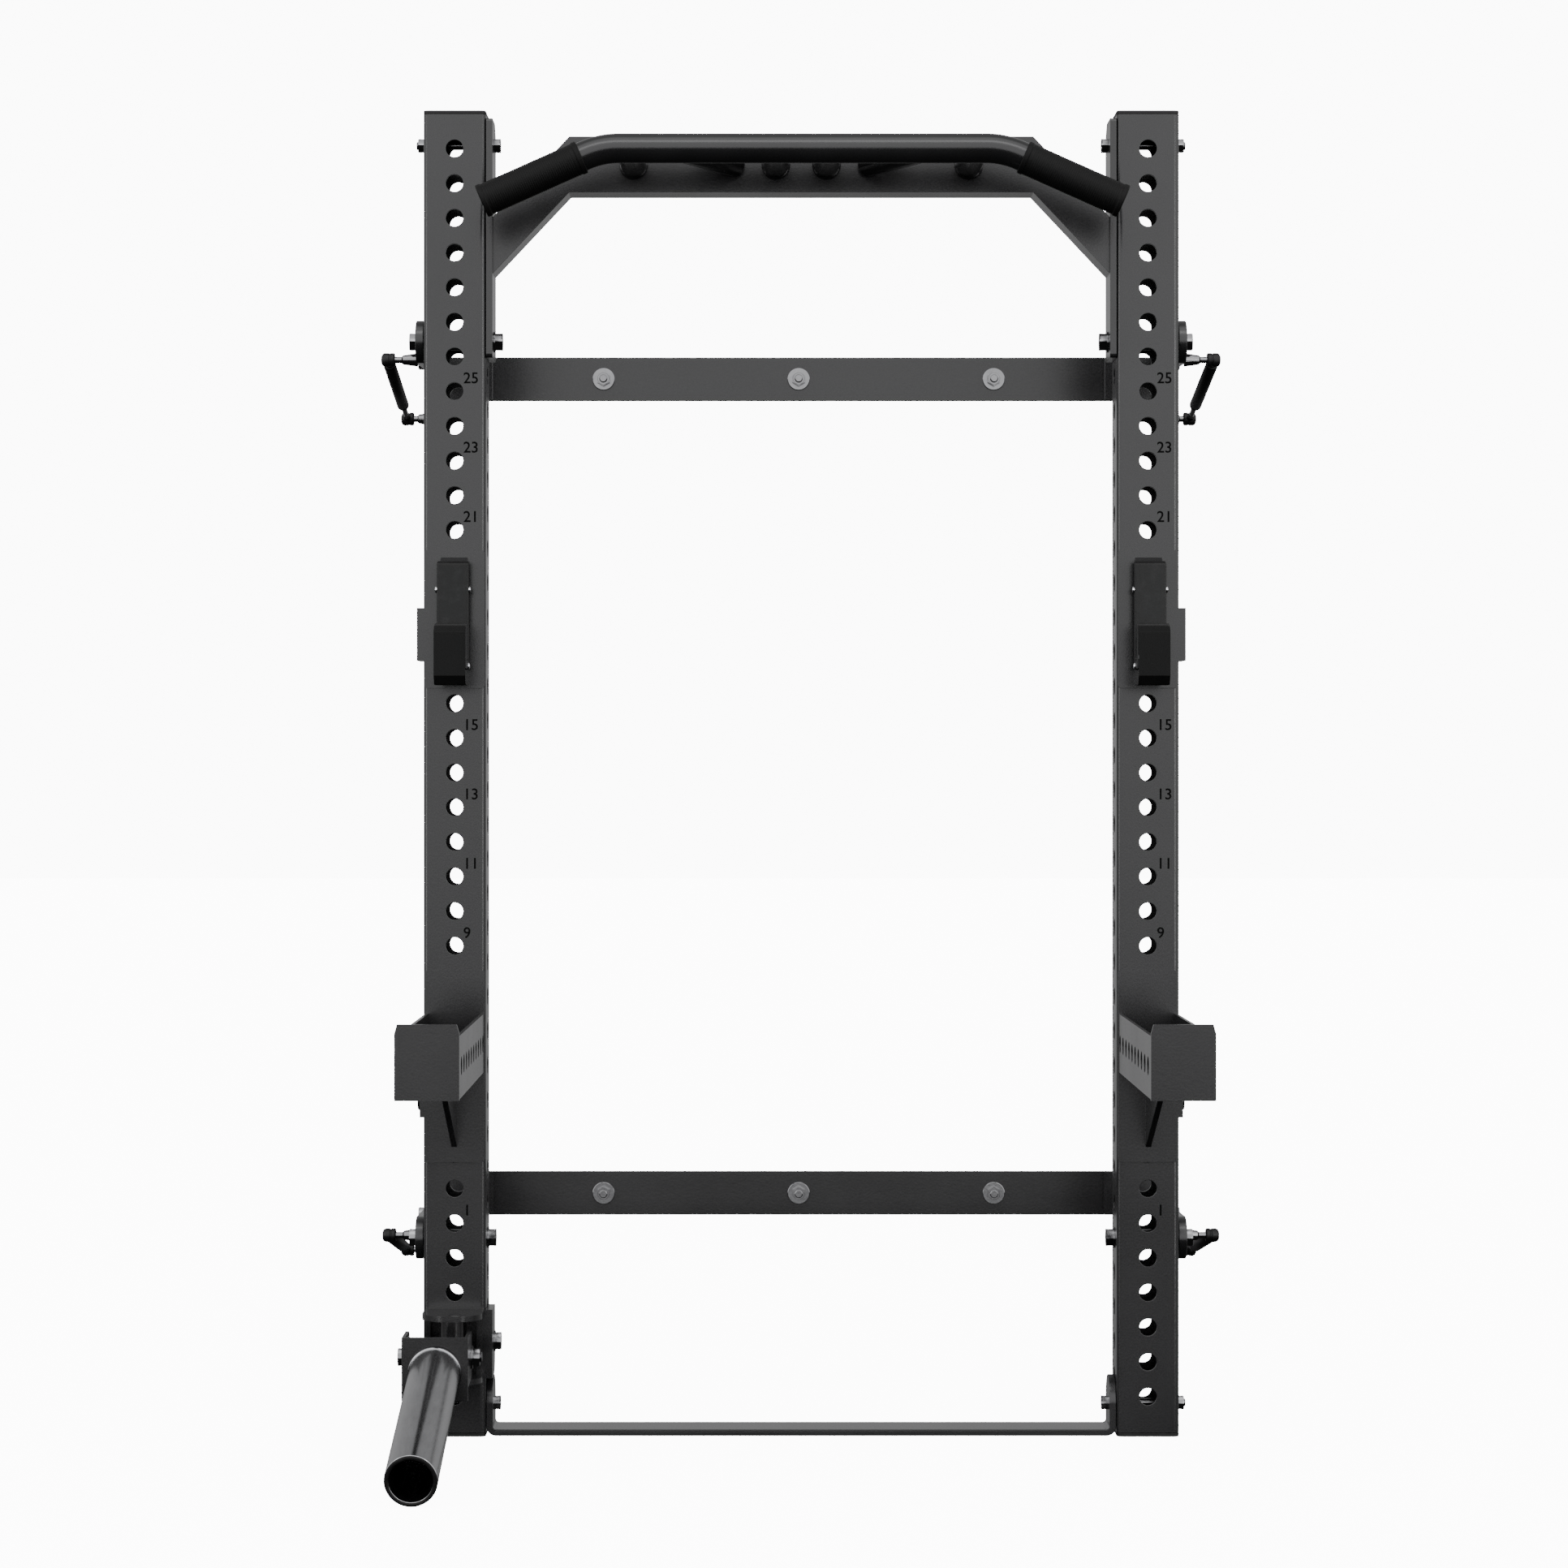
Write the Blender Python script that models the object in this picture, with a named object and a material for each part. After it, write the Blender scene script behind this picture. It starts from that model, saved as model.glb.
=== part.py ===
"""Wall-mounted rack that folds up on four parallel arms. Metres, +Z up, -Y towards the lifter."""
import math

import bmesh
import bpy
from mathutils import Vector

# Driving sizes. X is measured from the middle plane, Y from the middle of the uprights, Z from the floor.
PITCH = 0.050          # hole spacing of the uprights
HOLES = 37             # front holes in each upright
FIRST_HOLE = 0.0577    # height of the lowest front hole
HOLE_R = 0.0125
TUBE = 0.090           # outside width of an upright
TUBE_WALL = 0.004
SPACING = 1.000        # centre to centre of the two uprights
HEIGHT = 1.9126
WALL_Y = 0.384         # plane of the wall
ARM_LENGTH = WALL_Y - 0.076  # front pivot to wall pivot
TRAY_LENGTH = 0.5187
SOCKET_LENGTH = 0.432  # length of the landmine tube
GAP = 0.0003           # clearance between touching pieces

HALF = TUBE / 2
COLUMN = SPACING / 2
INNER = COLUMN - HALF
OUTER = COLUMN + HALF
FRONT = -HALF
UPPER_PIVOT = FIRST_HOLE + 30.5 * PITCH
LOWER_PIVOT = FIRST_HOLE + 4.5 * PITCH
UPPER_BEAM = UPPER_PIVOT - 0.0207
LOWER_BEAM = LOWER_PIVOT + 0.0273
BEAM_FRONT = WALL_Y - 0.006
ORIGIN = Vector((0, WALL_Y, UPPER_PIVOT))
ARM_IN = OUTER + 0.0012
ARM_OUT = ARM_IN + 0.012
PLATE_IN = ARM_OUT + 0.0008
PLATE_OUT = PLATE_IN + 0.010
BALL_X = OUTER + 0.052
FLANGE_IN = INNER - 0.0095
BAR_Y = FRONT - 0.165
BAR_Z = 1.8346
BAR_R = 0.0208

for old in list(bpy.data.objects):
    bpy.data.objects.remove(old)


def prism(points, axis, low, high):
    """A polygon drawn in the plane across an axis, pushed along it from low to high."""
    def place(u, v, w):
        if axis == "X":
            return (w, u, v)
        if axis == "Y":
            return (u, w, v)
        return (u, v, w)
    count = len(points)
    verts = [place(u, v, low) for u, v in points] + [place(u, v, high) for u, v in points]
    faces = [list(range(count)), list(range(count, 2 * count))]
    faces += [[i, (i + 1) % count, count + (i + 1) % count, count + i] for i in range(count)]
    return verts, faces


def box(low, high):
    """A block between two corners."""
    outline = [(low[0], low[1]), (high[0], low[1]), (high[0], high[1]), (low[0], high[1])]
    return prism(outline, "Z", low[2], high[2])


def ring(centre, radius, sides, turn=0.5):
    """Points round a circle."""
    found = []
    for i in range(sides):
        angle = 2 * math.pi * (i + turn) / sides
        found.append((centre[0] + radius * math.cos(angle), centre[1] + radius * math.sin(angle)))
    return found


def rod(axis, centre, radius, low, high, sides=16, turn=0.5):
    """A round bar, or a hexagon with six sides, along one axis."""
    return prism(ring(centre, radius, sides, turn), axis, low, high)


def turned(start, direction, profile, sides=16, tube=False):
    """A profile of (distance, radius) pairs spun about a line, capped at its ends unless it is a tube."""
    along = Vector(direction).normalized()
    across = along.orthogonal().normalized()
    third = along.cross(across)
    verts = []
    for distance, radius in profile:
        for i in range(sides):
            angle = 2 * math.pi * i / sides
            out = across * math.cos(angle) + third * math.sin(angle)
            verts.append(Vector(start) + along * distance + out * radius)
    rows = len(profile)
    faces = [] if tube else [list(range(sides)), list(range((rows - 1) * sides, rows * sides))]
    for row in range(rows if tube else rows - 1):
        below = (row + 1) % rows
        for i in range(sides):
            step = (i + 1) % sides
            faces.append([row * sides + i, row * sides + step, below * sides + step, below * sides + i])
    return verts, faces


def swept(path, radius, sides=16):
    """A round bar that follows a path in the plane Y = constant."""
    verts = []
    count = len(path)
    for i, point in enumerate(path):
        before = Vector(path[max(i - 1, 0)])
        after = Vector(path[min(i + 1, count - 1)])
        along = (after - before).normalized()
        side = Vector((0, 1, 0))
        third = along.cross(side)
        for k in range(sides):
            angle = 2 * math.pi * k / sides
            verts.append(Vector(point) + side * radius * math.cos(angle) + third * radius * math.sin(angle))
    faces = [list(range(sides)), list(range((count - 1) * sides, count * sides))]
    for row in range(count - 1):
        for k in range(sides):
            step = (k + 1) % sides
            low = row * sides
            faces.append([low + k, low + step, low + sides + step, low + sides + k])
    return verts, faces


def mesh_of(name, pieces, origin):
    """One mesh holding every piece, with outward faces, measured from the given origin."""
    made = bmesh.new()
    for verts, faces in pieces:
        corners = [made.verts.new(Vector(v) - origin) for v in verts]
        for face in faces:
            made.faces.new([corners[i] for i in face])
    bmesh.ops.recalc_face_normals(made, faces=made.faces)
    mesh = bpy.data.meshes.new(name)
    made.to_mesh(mesh)
    made.free()
    mesh.shade_smooth()
    mesh.set_sharp_from_angle(angle=math.radians(35))
    return mesh


def solid(name, colour, adds, cuts=(), pivot=None, rough=0.5, metal=0.0):
    """One finished piece: the adds joined, the cuts taken away, its origin on its joint."""
    pivot = Vector(pivot) if pivot else ORIGIN
    body = bpy.data.objects.new(name, mesh_of(name, adds if cuts else adds[:1], pivot))
    body.location = pivot - ORIGIN
    bpy.context.scene.collection.objects.link(body)
    paint = bpy.data.materials.new(name)
    paint.use_nodes = True
    shader = paint.node_tree.nodes["Principled BSDF"]
    shader.inputs["Base Color"].default_value = (*colour, 1)
    shader.inputs["Roughness"].default_value = rough
    shader.inputs["Metallic"].default_value = metal
    body.data.materials.append(paint)
    others = cuts if cuts else adds[1:]
    if others:
        tool = bpy.data.objects.new(name + "_tool", mesh_of(name + "_tool", others, pivot))
        tool.location = body.location
        tool.hide_render = True
        tool.display_type = "WIRE"
        bpy.context.scene.collection.objects.link(tool)
        join = body.modifiers.new("shape", "BOOLEAN")
        join.operation = "DIFFERENCE" if cuts else "UNION"
        join.solver = "EXACT"
        join.use_self = True
        join.object = tool
    return body


def span(side, near, far):
    """The two X values of a slab on one side, in order."""
    return min(side * near, side * far), max(side * near, side * far)


def slab(side, near, far, y, z):
    """A block between two distances from the middle plane, on one side of it."""
    low, high = span(side, near, far)
    return box((low, y[0], z[0]), (high, y[1], z[1]))


def bar_x(side, near, far, centre, radius, sides=12, turn=0.5):
    """A round bar or hexagon across the rack, on one side of it."""
    low, high = span(side, near, far)
    return rod("X", centre, radius, low, high, sides, turn)


BLACK = (0.045, 0.045, 0.048)
ZINC = (0.62, 0.63, 0.65)
PLASTIC = (0.02, 0.02, 0.02)
RUBBER = (0.03, 0.03, 0.03)
BARE = (0.50, 0.50, 0.50)
SIDES = {"left": -1, "right": 1}
LEVELS = {"upper": (UPPER_PIVOT, UPPER_BEAM), "lower": (LOWER_PIVOT, LOWER_BEAM)}
BALLS = {"upper": ((0.010, -0.025), (0.057, -0.083)), "lower": ((0.030, 0.0), (0.057, -0.058))}

# The two flat beams on the wall, each held by three bolts.
for level, (pivot, beam) in LEVELS.items():
    low, high = beam - 0.0335, beam + 0.0335
    plate = box((-OUTER - 0.030, BEAM_FRONT, low), (OUTER + 0.030, WALL_Y, high))
    spots = {"left": -6 * PITCH, "middle": 0.0, "right": 6 * PITCH}
    holes = [rod("Y", (x, beam), 0.0072, BEAM_FRONT - 0.01, WALL_Y + 0.01, 8) for x in spots.values()]
    solid(level + "_wall_beam", BLACK, [plate], holes)
    for spot, x in spots.items():
        face = BEAM_FRONT - GAP
        washer = rod("Y", (x, beam), 0.0170, face - 0.0025, face, 12)
        nut = rod("Y", (x, beam), 0.0110, face - 0.0130, face - 0.002, 6)
        shank = rod("Y", (x, beam), 0.0063, face - 0.0190, WALL_Y - GAP, 8)
        solid(f"{level}_{spot}_wall_bolt", ZINC, [washer, nut, shank], metal=1.0, rough=0.35)

# Wall brackets, arms, pivot bolts and gas struts, one set at each corner.
for level, (pivot, beam) in LEVELS.items():
    for hand, side in SIDES.items():
        corner = f"{level}_{hand}"
        near, far = BALLS[level]
        near = (near[0], pivot + near[1])
        far = (ARM_LENGTH + far[0], pivot + far[1])
        outline = [(ARM_LENGTH - 0.024, pivot - 0.012), (ARM_LENGTH - 0.024, pivot + 0.012)]
        outline += [(ARM_LENGTH - 0.010, pivot + 0.026), (BEAM_FRONT - GAP, pivot + 0.034)]
        outline += [(BEAM_FRONT - GAP, far[1] - 0.016), (far[0] - 0.022, far[1] - 0.016)]
        outline += [(ARM_LENGTH + 0.012, pivot - 0.030), (ARM_LENGTH - 0.010, pivot - 0.026)]
        low, high = span(side, PLATE_IN, PLATE_OUT)
        cheek = prism(outline, "X", low, high)
        foot = slab(side, COLUMN - 0.030, PLATE_OUT - 0.002,
                    (BEAM_FRONT - GAP - 0.006, BEAM_FRONT - GAP), (beam - 0.0330, beam + 0.0330))
        stud = bar_x(side, PLATE_OUT - 0.002, BALL_X + 0.0080, far, 0.0050)
        cone = bar_x(side, PLATE_OUT - 0.002, PLATE_OUT + 0.006, far, 0.0085)
        bore = bar_x(side, PLATE_IN - 0.02, PLATE_OUT + 0.02, (ARM_LENGTH, pivot), 0.0086)
        solid(corner + "_wall_bracket", BLACK, [cheek, foot, stud, cone], [bore])

        outline = ring((0.0, pivot), 0.031, 16, 0.5)
        front_end = [p for p in outline if p[0] < 0.001]
        rear_end = [p for p in ring((ARM_LENGTH, pivot), 0.024, 16, 0.5) if p[0] > ARM_LENGTH - 0.001]
        front_end.sort(key=lambda p: -p[1])
        rear_end.sort(key=lambda p: p[1])
        low, high = span(side, ARM_IN, ARM_OUT)
        plate = prism(front_end + rear_end, "X", low, high)
        stud = bar_x(side, ARM_OUT - 0.002, BALL_X + 0.0080, near, 0.0050)
        cone = bar_x(side, ARM_OUT - 0.002, ARM_OUT + 0.010, near, 0.0085)
        bores = [bar_x(side, ARM_IN - 0.02, ARM_OUT + 0.04, (0.0, pivot), 0.0086)]
        bores.append(bar_x(side, ARM_IN - 0.02, ARM_OUT + 0.04, (ARM_LENGTH, pivot), 0.0086))
        axis_x = side * (ARM_IN + 0.006)
        solid(corner + "_arm", BLACK, [plate, stud, cone], bores, (axis_x, ARM_LENGTH, pivot))

        head = bar_x(side, PLATE_OUT + GAP, PLATE_OUT + 0.0100, (ARM_LENGTH, pivot), 0.0139, 6)
        shank = bar_x(side, ARM_IN + 0.001, PLATE_OUT + 0.002, (ARM_LENGTH, pivot), 0.0080)
        solid(corner + "_wall_pivot_bolt", ZINC, [head, shank], metal=1.0, rough=0.35)

        nut_face = FLANGE_IN if level == "upper" else INNER
        head = bar_x(side, ARM_OUT + GAP, ARM_OUT + 0.0100, (0.0, pivot), 0.0139, 6)
        shank = bar_x(side, nut_face - 0.012, ARM_OUT + 0.002, (0.0, pivot), 0.0080)
        sleeve = bar_x(side, INNER + 0.0002, OUTER + 0.0004, (0.0, pivot), 0.0118)
        nut = bar_x(side, nut_face - 0.011, nut_face - GAP, (0.0, pivot), 0.0139, 6)
        solid(corner + "_front_pivot_bolt", ZINC, [head, shank, sleeve, nut], pivot=(axis_x, 0.0, pivot),
              metal=1.0, rough=0.35)

        start = Vector((side * BALL_X, near[0], near[1]))
        end = Vector((side * BALL_X, far[0], far[1]))
        along = (end - start).normalized()
        mouth = (end - start).length - 0.088
        bottom = mouth - 0.097
        eye = bar_x(side, BALL_X - 0.0065, BALL_X + 0.0135, near, 0.0100)
        body = turned(start + Vector((side * 0.0035, 0, 0)), along,
                      [(0.004, 0.0050), (0.022, 0.0050), (0.022, 0.0090), (mouth, 0.0090),
                       (mouth, 0.0081), (bottom, 0.0081)], 12)
        socket = bar_x(side, BALL_X - 0.02, BALL_X + 0.0090, near, 0.0054)
        solid(corner + "_strut_cylinder", BLACK, [eye, body], [socket],
              (side * BALL_X, near[0], near[1]), rough=0.3)
        eye = bar_x(side, BALL_X - 0.0065, BALL_X + 0.0135, far, 0.0100)
        neck = turned(end + Vector((side * 0.0035, 0, 0)), -along,
                      [(0.004, 0.0055), (0.020, 0.0055), (0.020, 0.0040), (0.165, 0.0040)], 12)
        socket = bar_x(side, BALL_X - 0.02, BALL_X + 0.0090, far, 0.0054)
        solid(corner + "_strut_rod", ZINC, [eye, neck], [socket],
              (side * BALL_X, far[0], far[1]), metal=1.0, rough=0.2)

# The lifting frame: two punched uprights with caps at both ends.
standing = set(bpy.data.objects)
for hand, side in SIDES.items():
    x = side * COLUMN
    corner = 0.0060
    bend = corner * 0.3
    outline = []
    for u, v in ((1, 1), (-1, 1), (-1, -1), (1, -1)):
        first = (x + u * HALF, v * (HALF - corner))
        middle = (x + u * (HALF - bend), v * (HALF - bend))
        last = (x + u * (HALF - corner), v * HALF)
        outline += [first, middle, last] if u * v > 0 else [last, middle, first]
    top = HEIGHT - 0.0053
    tube = prism(outline, "Z", 0.0053, top)
    core = HALF - TUBE_WALL
    cuts = [box((x - core, -core, -0.01), (x + core, core, HEIGHT + 0.01))]
    walls = ((-HALF - 0.002, -core + 0.002), (core - 0.002, HALF + 0.002))
    for hole in range(HOLES):
        height = FIRST_HOLE + hole * PITCH
        for low, high in walls:
            cuts.append(rod("Y", (x, height), HOLE_R, low, high, 8))
            if hole < HOLES - 1:
                pivot_hole = hole in (4, 30)
                radius = 0.0127 if pivot_hole else HOLE_R
                corners = 12 if pivot_hole else 6
                cuts.append(rod("X", (0.0, height + PITCH / 2), radius, x + low, x + high, corners))
    for height in (0.0431, 1.8675):
        for low, high in walls:
            cuts.append(rod("X", (0.0, height), 0.0068, x + low, x + high, 8))
    solid(hand + "_upright", BLACK, [tube], cuts)
    inside = core - GAP
    for end, base, face in (("foot", 0.0, 0.0), ("top", HEIGHT, HEIGHT)):
        away = 1 if end == "foot" else -1
        z = sorted((face, face + away * 0.0050))
        plate = box((x - HALF, -HALF, z[0]), (x + HALF, HALF, z[1]))
        z = sorted((face + away * 0.0040, face + away * 0.0200))
        plug = box((x - inside, -inside, z[0]), (x + inside, inside, z[1]))
        solid(f"{hand}_{end}_cap", PLASTIC, [plate, plug])

# The cranked cross-member, a channel with an end plate against each upright.
WEB_FRONT = FRONT + 0.010
chevron = [(-FLANGE_IN - 0.002, 1.6763), (-0.335, 1.7957), (0.335, 1.7957), (FLANGE_IN + 0.002, 1.6763)]
chevron += [(FLANGE_IN + 0.002, 1.7580), (0.335, 1.8765), (-0.335, 1.8765), (-FLANGE_IN - 0.002, 1.7580)]
pocket = [(-FLANGE_IN + 0.001, 1.6876), (-0.333, 1.8017), (0.333, 1.8017), (FLANGE_IN - 0.001, 1.6876)]
pocket += [(FLANGE_IN - 0.001, 1.7527), (0.333, 1.8705), (-0.333, 1.8705), (-FLANGE_IN + 0.001, 1.7527)]
adds = [prism(chevron, "Y", WEB_FRONT, 0.031)]
cuts = [prism(pocket, "Y", WEB_FRONT + 0.006, 0.060)]
plate = [(-0.0432, 1.5566), (0.0432, 1.5566), (0.0432, 1.8823), (0.0232, 1.9023), (-0.0432, 1.9023)]
for side in SIDES.values():
    low, high = span(side, FLANGE_IN, INNER - GAP)
    adds.append(prism(plate, "X", low, high))
    cuts.append(bar_x(side, FLANGE_IN - 0.01, INNER + 0.01, (0.0, UPPER_PIVOT), 0.0086))
    cuts.append(bar_x(side, FLANGE_IN - 0.01, INNER + 0.01, (0.0, 1.8675), 0.0068, 8))
solid("top_cross_member", BLACK, adds, cuts)

# The pull-up bar with bent ends, and six handles back to the cross-member.
def bar_path(side):
    """Centre line of one half of the bar, from the middle outwards."""
    found = []
    straight, turn, radius, end = 0.2575, math.radians(24), 0.120, 0.449
    for step in range(5):
        angle = turn * step / 4
        found.append((side * (straight + radius * math.sin(angle)), BAR_Y,
                      BAR_Z - radius * (1 - math.cos(angle))))
    reach = end - abs(found[-1][0])
    found.append((side * end, BAR_Y, found[-1][2] - reach * math.tan(turn)))
    return found


left_path = bar_path(-1)
right_path = bar_path(1)
adds = [swept(left_path[::-1] + right_path, BAR_R, 16)]
for side in SIDES.values():
    for near, far, radius in ((0.242, 0.242, 0.0185), (0.0365, 0.0365, 0.0185), (0.093, 0.181, 0.0170)):
        start = Vector((side * near, WEB_FRONT - GAP, BAR_Z))
        end = Vector((side * far, BAR_Y, BAR_Z))
        length = (end - start).length
        lean = 0.0185 if near != far else 0.0
        adds.append(turned(start, end - start, [(lean * 0.47, radius), (length, radius)], 12))
solid("pull_up_bar", BLACK, adds)
for hand, side in SIDES.items():
    path = left_path if side < 0 else right_path
    low_end = Vector(path[5])
    along = (Vector(path[4]) - low_end).normalized()
    start = low_end - along * 0.002
    profile = [(0.0, BAR_R + 0.0004), (0.0, 0.0240), (0.008, 0.0240), (0.008, 0.0227),
               (0.146, 0.0227), (0.146, 0.0240), (0.154, 0.0240), (0.154, BAR_R + 0.0004)]
    solid(hand + "_bar_grip", RUBBER, [turned(start, along, profile, 16, True)])

# The floor strap between the uprights, and the bolts that hold both cross pieces.
legs = INNER - GAP
strap = [(-legs, 0.010), (-legs + 0.006, 0.002), (-legs + 0.012, 0.0), (legs - 0.012, 0.0)]
strap += [(legs - 0.006, 0.002), (legs, 0.010), (legs, 0.084), (FLANGE_IN, 0.084), (FLANGE_IN, 0.014)]
strap += [(FLANGE_IN - 0.0045, 0.0095), (-FLANGE_IN + 0.0045, 0.0095), (-FLANGE_IN, 0.014)]
strap += [(-FLANGE_IN, 0.084), (-legs, 0.084)]
cuts = [rod("X", (0.0, 0.0431), 0.0068, -COLUMN, COLUMN, 8)]
for y in (-0.0375, 0.0375):
    corner = [(y, 0.060), (y * 1.1, 0.060), (y * 1.1, 0.090), (y * 0.35, 0.090)]
    corner += [(y * 0.55, 0.082), (y * 0.85, 0.072)]
    cuts.append(prism(corner, "X", -COLUMN, COLUMN))
solid("floor_strap", BLACK, [prism(strap, "Y", -0.0375, 0.0375)], cuts)
for hand, side in SIDES.items():
    for name, height in (("cross_member", 1.8675), ("strap", 0.0431)):
        head = bar_x(side, FLANGE_IN - 0.0080, FLANGE_IN - GAP, (0.0, height), 0.0110, 6)
        shank = bar_x(side, FLANGE_IN - 0.006, OUTER + 0.0130, (0.0, height), 0.0062, 8)
        nut = bar_x(side, OUTER + GAP, OUTER + 0.0105, (0.0, height), 0.0110, 6)
        solid(f"{hand}_{name}_bolt", ZINC, [head, shank, nut], metal=1.0, rough=0.35)

# Bar hooks: a steel hook on a pin in an upright hole, lined with a wear pad.
HOOK_HOLE = FIRST_HOLE + 24 * PITCH
for hand, side in SIDES.items():
    x = side * COLUMN
    back = FRONT - GAP
    plate = box((x - 0.0435, back - 0.005, 1.0795), (x + 0.0435, back, 1.2784))
    hook = [(back - 0.004, 1.0846), (back - 0.004, 1.2680), (back - 0.026, 1.2600), (back - 0.026, 1.1050)]
    hook += [(FRONT - 0.0880, 1.1050), (FRONT - 0.0880, 1.1600), (FRONT - 0.0930, 1.1640)]
    hook += [(FRONT - 0.1030, 1.1580), (FRONT - 0.1030, 1.0960), (FRONT - 0.0930, 1.0846)]
    body = prism(hook, "X", x - 0.0190, x + 0.0190)
    low, high = span(side, OUTER + 0.0008, OUTER + 0.0090)
    tab = box((low, back - 0.0050, 1.1190), (high, 0.020, 1.1950))
    bridge_low, bridge_high = span(side, COLUMN + 0.040, OUTER + 0.0090)
    bridge = box((bridge_low, back - 0.0050, 1.1190), (bridge_high, back, 1.1950))
    pin = rod("Y", (x, HOOK_HOLE), 0.0110, back - 0.003, -0.0220, 12)
    solid(hand + "_hook", BLACK, [plate, body, tab, bridge, pin], pivot=(x, FRONT, HOOK_HOLE))
    pad = [(back - 0.0263, 1.1053), (back - 0.0263, 1.2620), (FRONT - 0.0390, 1.2580)]
    pad += [(FRONT - 0.0400, 1.1200), (FRONT - 0.0740, 1.1160), (FRONT - 0.0800, 1.1700)]
    pad += [(FRONT - 0.0877, 1.1700), (FRONT - 0.0877, 1.1053)]
    solid(hand + "_hook_pad", PLASTIC, [prism(pad, "X", x - 0.0230, x + 0.0230)], pivot=(x, FRONT, HOOK_HOLE))

# Spotter arms: a lined tray on a back plate, pinned into the upright.
TRAY_LOW, TRAY_HIGH = 0.5260, 0.6102
TRAY_END = FRONT - 0.0053 - TRAY_LENGTH
PLUG = FIRST_HOLE + 8.5 * PITCH
for hand, side in SIDES.items():
    x = side * COLUMN
    back = FRONT - GAP
    adds = [box((x - 0.0435, back - 0.005, 0.3965), (x + 0.0435, back, 0.6722))]
    adds.append(box((x - 0.0425, TRAY_END + 0.001, TRAY_LOW), (x + 0.0425, back - 0.002, TRAY_LOW + 0.005)))
    for edge in (-1, 1):
        wall = sorted((x + edge * 0.0375, x + edge * 0.0425))
        adds.append(box((wall[0], TRAY_END + 0.001, TRAY_LOW + 0.001), (wall[1], back - 0.002, TRAY_HIGH)))
    end = [(x - 0.0430, TRAY_LOW - 0.001), (x + 0.0430, TRAY_LOW - 0.001), (x + 0.0430, 0.6160)]
    end += [(x + 0.0390, 0.6260), (x - 0.0390, 0.6260), (x - 0.0430, 0.6160)]
    adds.append(prism(end, "Y", TRAY_END - 0.005, TRAY_END + 0.002))
    rib = [(back - 0.003, 0.4177), (back - 0.003, TRAY_LOW + 0.002), (back - 0.260, TRAY_LOW + 0.002)]
    adds.append(prism(rib, "X", x - 0.0040, x + 0.0040))
    for hole in (7, 12):
        adds.append(rod("Y", (x, FIRST_HOLE + hole * PITCH), 0.0110, back - 0.003, -0.0250, 12))
    low, high = span(side, OUTER + 0.0008, OUTER + 0.0050)
    adds.append(box((low, back - 0.0050, PLUG - 0.022), (high, 0.020, PLUG + 0.022)))
    low, high = span(side, COLUMN + 0.040, OUTER + 0.0050)
    adds.append(box((low, back - 0.0050, PLUG - 0.022), (high, back, PLUG + 0.022)))
    cuts = [bar_x(side, OUTER - 0.01, OUTER + 0.02, (0.0, PLUG), 0.0114)]
    for hole in range(10):
        y = TRAY_END + 0.048 + hole * PITCH
        for edge in (-1, 1):
            wall = sorted((x + edge * 0.034, x + edge * 0.048))
            cuts.append(rod("X", (y, 0.568), HOLE_R, wall[0], wall[1], 8))
    solid(hand + "_spotter_arm", BLACK, adds, cuts)
    outline = [(x - 0.0372, TRAY_LOW + 0.0053), (x + 0.0372, TRAY_LOW + 0.0053), (x + 0.0372, 0.5500)]
    outline += [(x + 0.0312, 0.5500), (x + 0.0312, TRAY_LOW + 0.0130), (x - 0.0312, TRAY_LOW + 0.0130)]
    outline += [(x - 0.0312, 0.5500), (x - 0.0372, 0.5500)]
    solid(hand + "_spotter_liner", PLASTIC, [prism(outline, "Y", TRAY_END + 0.0026, back - 0.0056)])
    plug = bar_x(side, OUTER - 0.0200, OUTER + 0.0060, (0.0, PLUG), 0.0106)
    knob = bar_x(side, OUTER + 0.0053, OUTER + 0.0110, (0.0, PLUG), 0.0150)
    solid(hand + "_spotter_pin", ZINC, [plug, knob], pivot=(side * OUTER, 0.0, PLUG), metal=1.0, rough=0.35)

# The landmine: a bracket on the left upright, a swivel and a lifting socket for a bar.
x = -COLUMN
back = FRONT - GAP
SWIVEL_Y = FRONT - 0.045
TILT_Y, TILT_Z = FRONT - 0.115, 0.1307
adds = [box((x - 0.0435, back - 0.006, 0.0850), (x + 0.0545, back, 0.1840))]
ear = [(back - 0.006, 0.0850), (-0.004, 0.0850), (0.010, 0.0920), (0.017, 0.1060), (0.017, 0.1840)]
ear.append((back - 0.006, 0.1840))
adds.append(prism(ear, "X", x + HALF + GAP, x + HALF + 0.0100))
shelf = [(x - 0.0430, back - 0.004), (x + 0.0430, back - 0.004)]
for step in range(9):
    angle = math.pi * step / 8
    shelf.append((x + 0.0430 * math.cos(angle), SWIVEL_Y - 0.0430 * math.sin(angle)))
for low in (0.0850, 0.1760):
    adds.append(prism(shelf, "Z", low, low + 0.008))
adds.append(rod("Z", (x, SWIVEL_Y), 0.0095, 0.0900, 0.1800, 16))
bolt = [rod("X", (0.0, FIRST_HOLE + 1.5 * PITCH), 0.0139, x + HALF + 0.009, x + HALF + 0.0200, 6)]
bolt.append(rod("X", (0.0, FIRST_HOLE + 1.5 * PITCH), 0.0100, x + HALF - 0.012, x + HALF + 0.012, 12))
solid("landmine_bracket", BLACK, adds + bolt)
sleeve = rod("Z", (x, SWIVEL_Y), 0.0165, 0.0933, 0.1757, 16)
neck = box((x - 0.0150, TILT_Y + 0.004, 0.1180), (x + 0.0150, SWIVEL_Y - 0.004, 0.1430))
hub = rod("X", (TILT_Y, TILT_Z), 0.0140, x - 0.0560, x + 0.0260, 16)
cuts = [rod("Z", (x, SWIVEL_Y), 0.0098, 0.05, 0.25, 16)]
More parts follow.
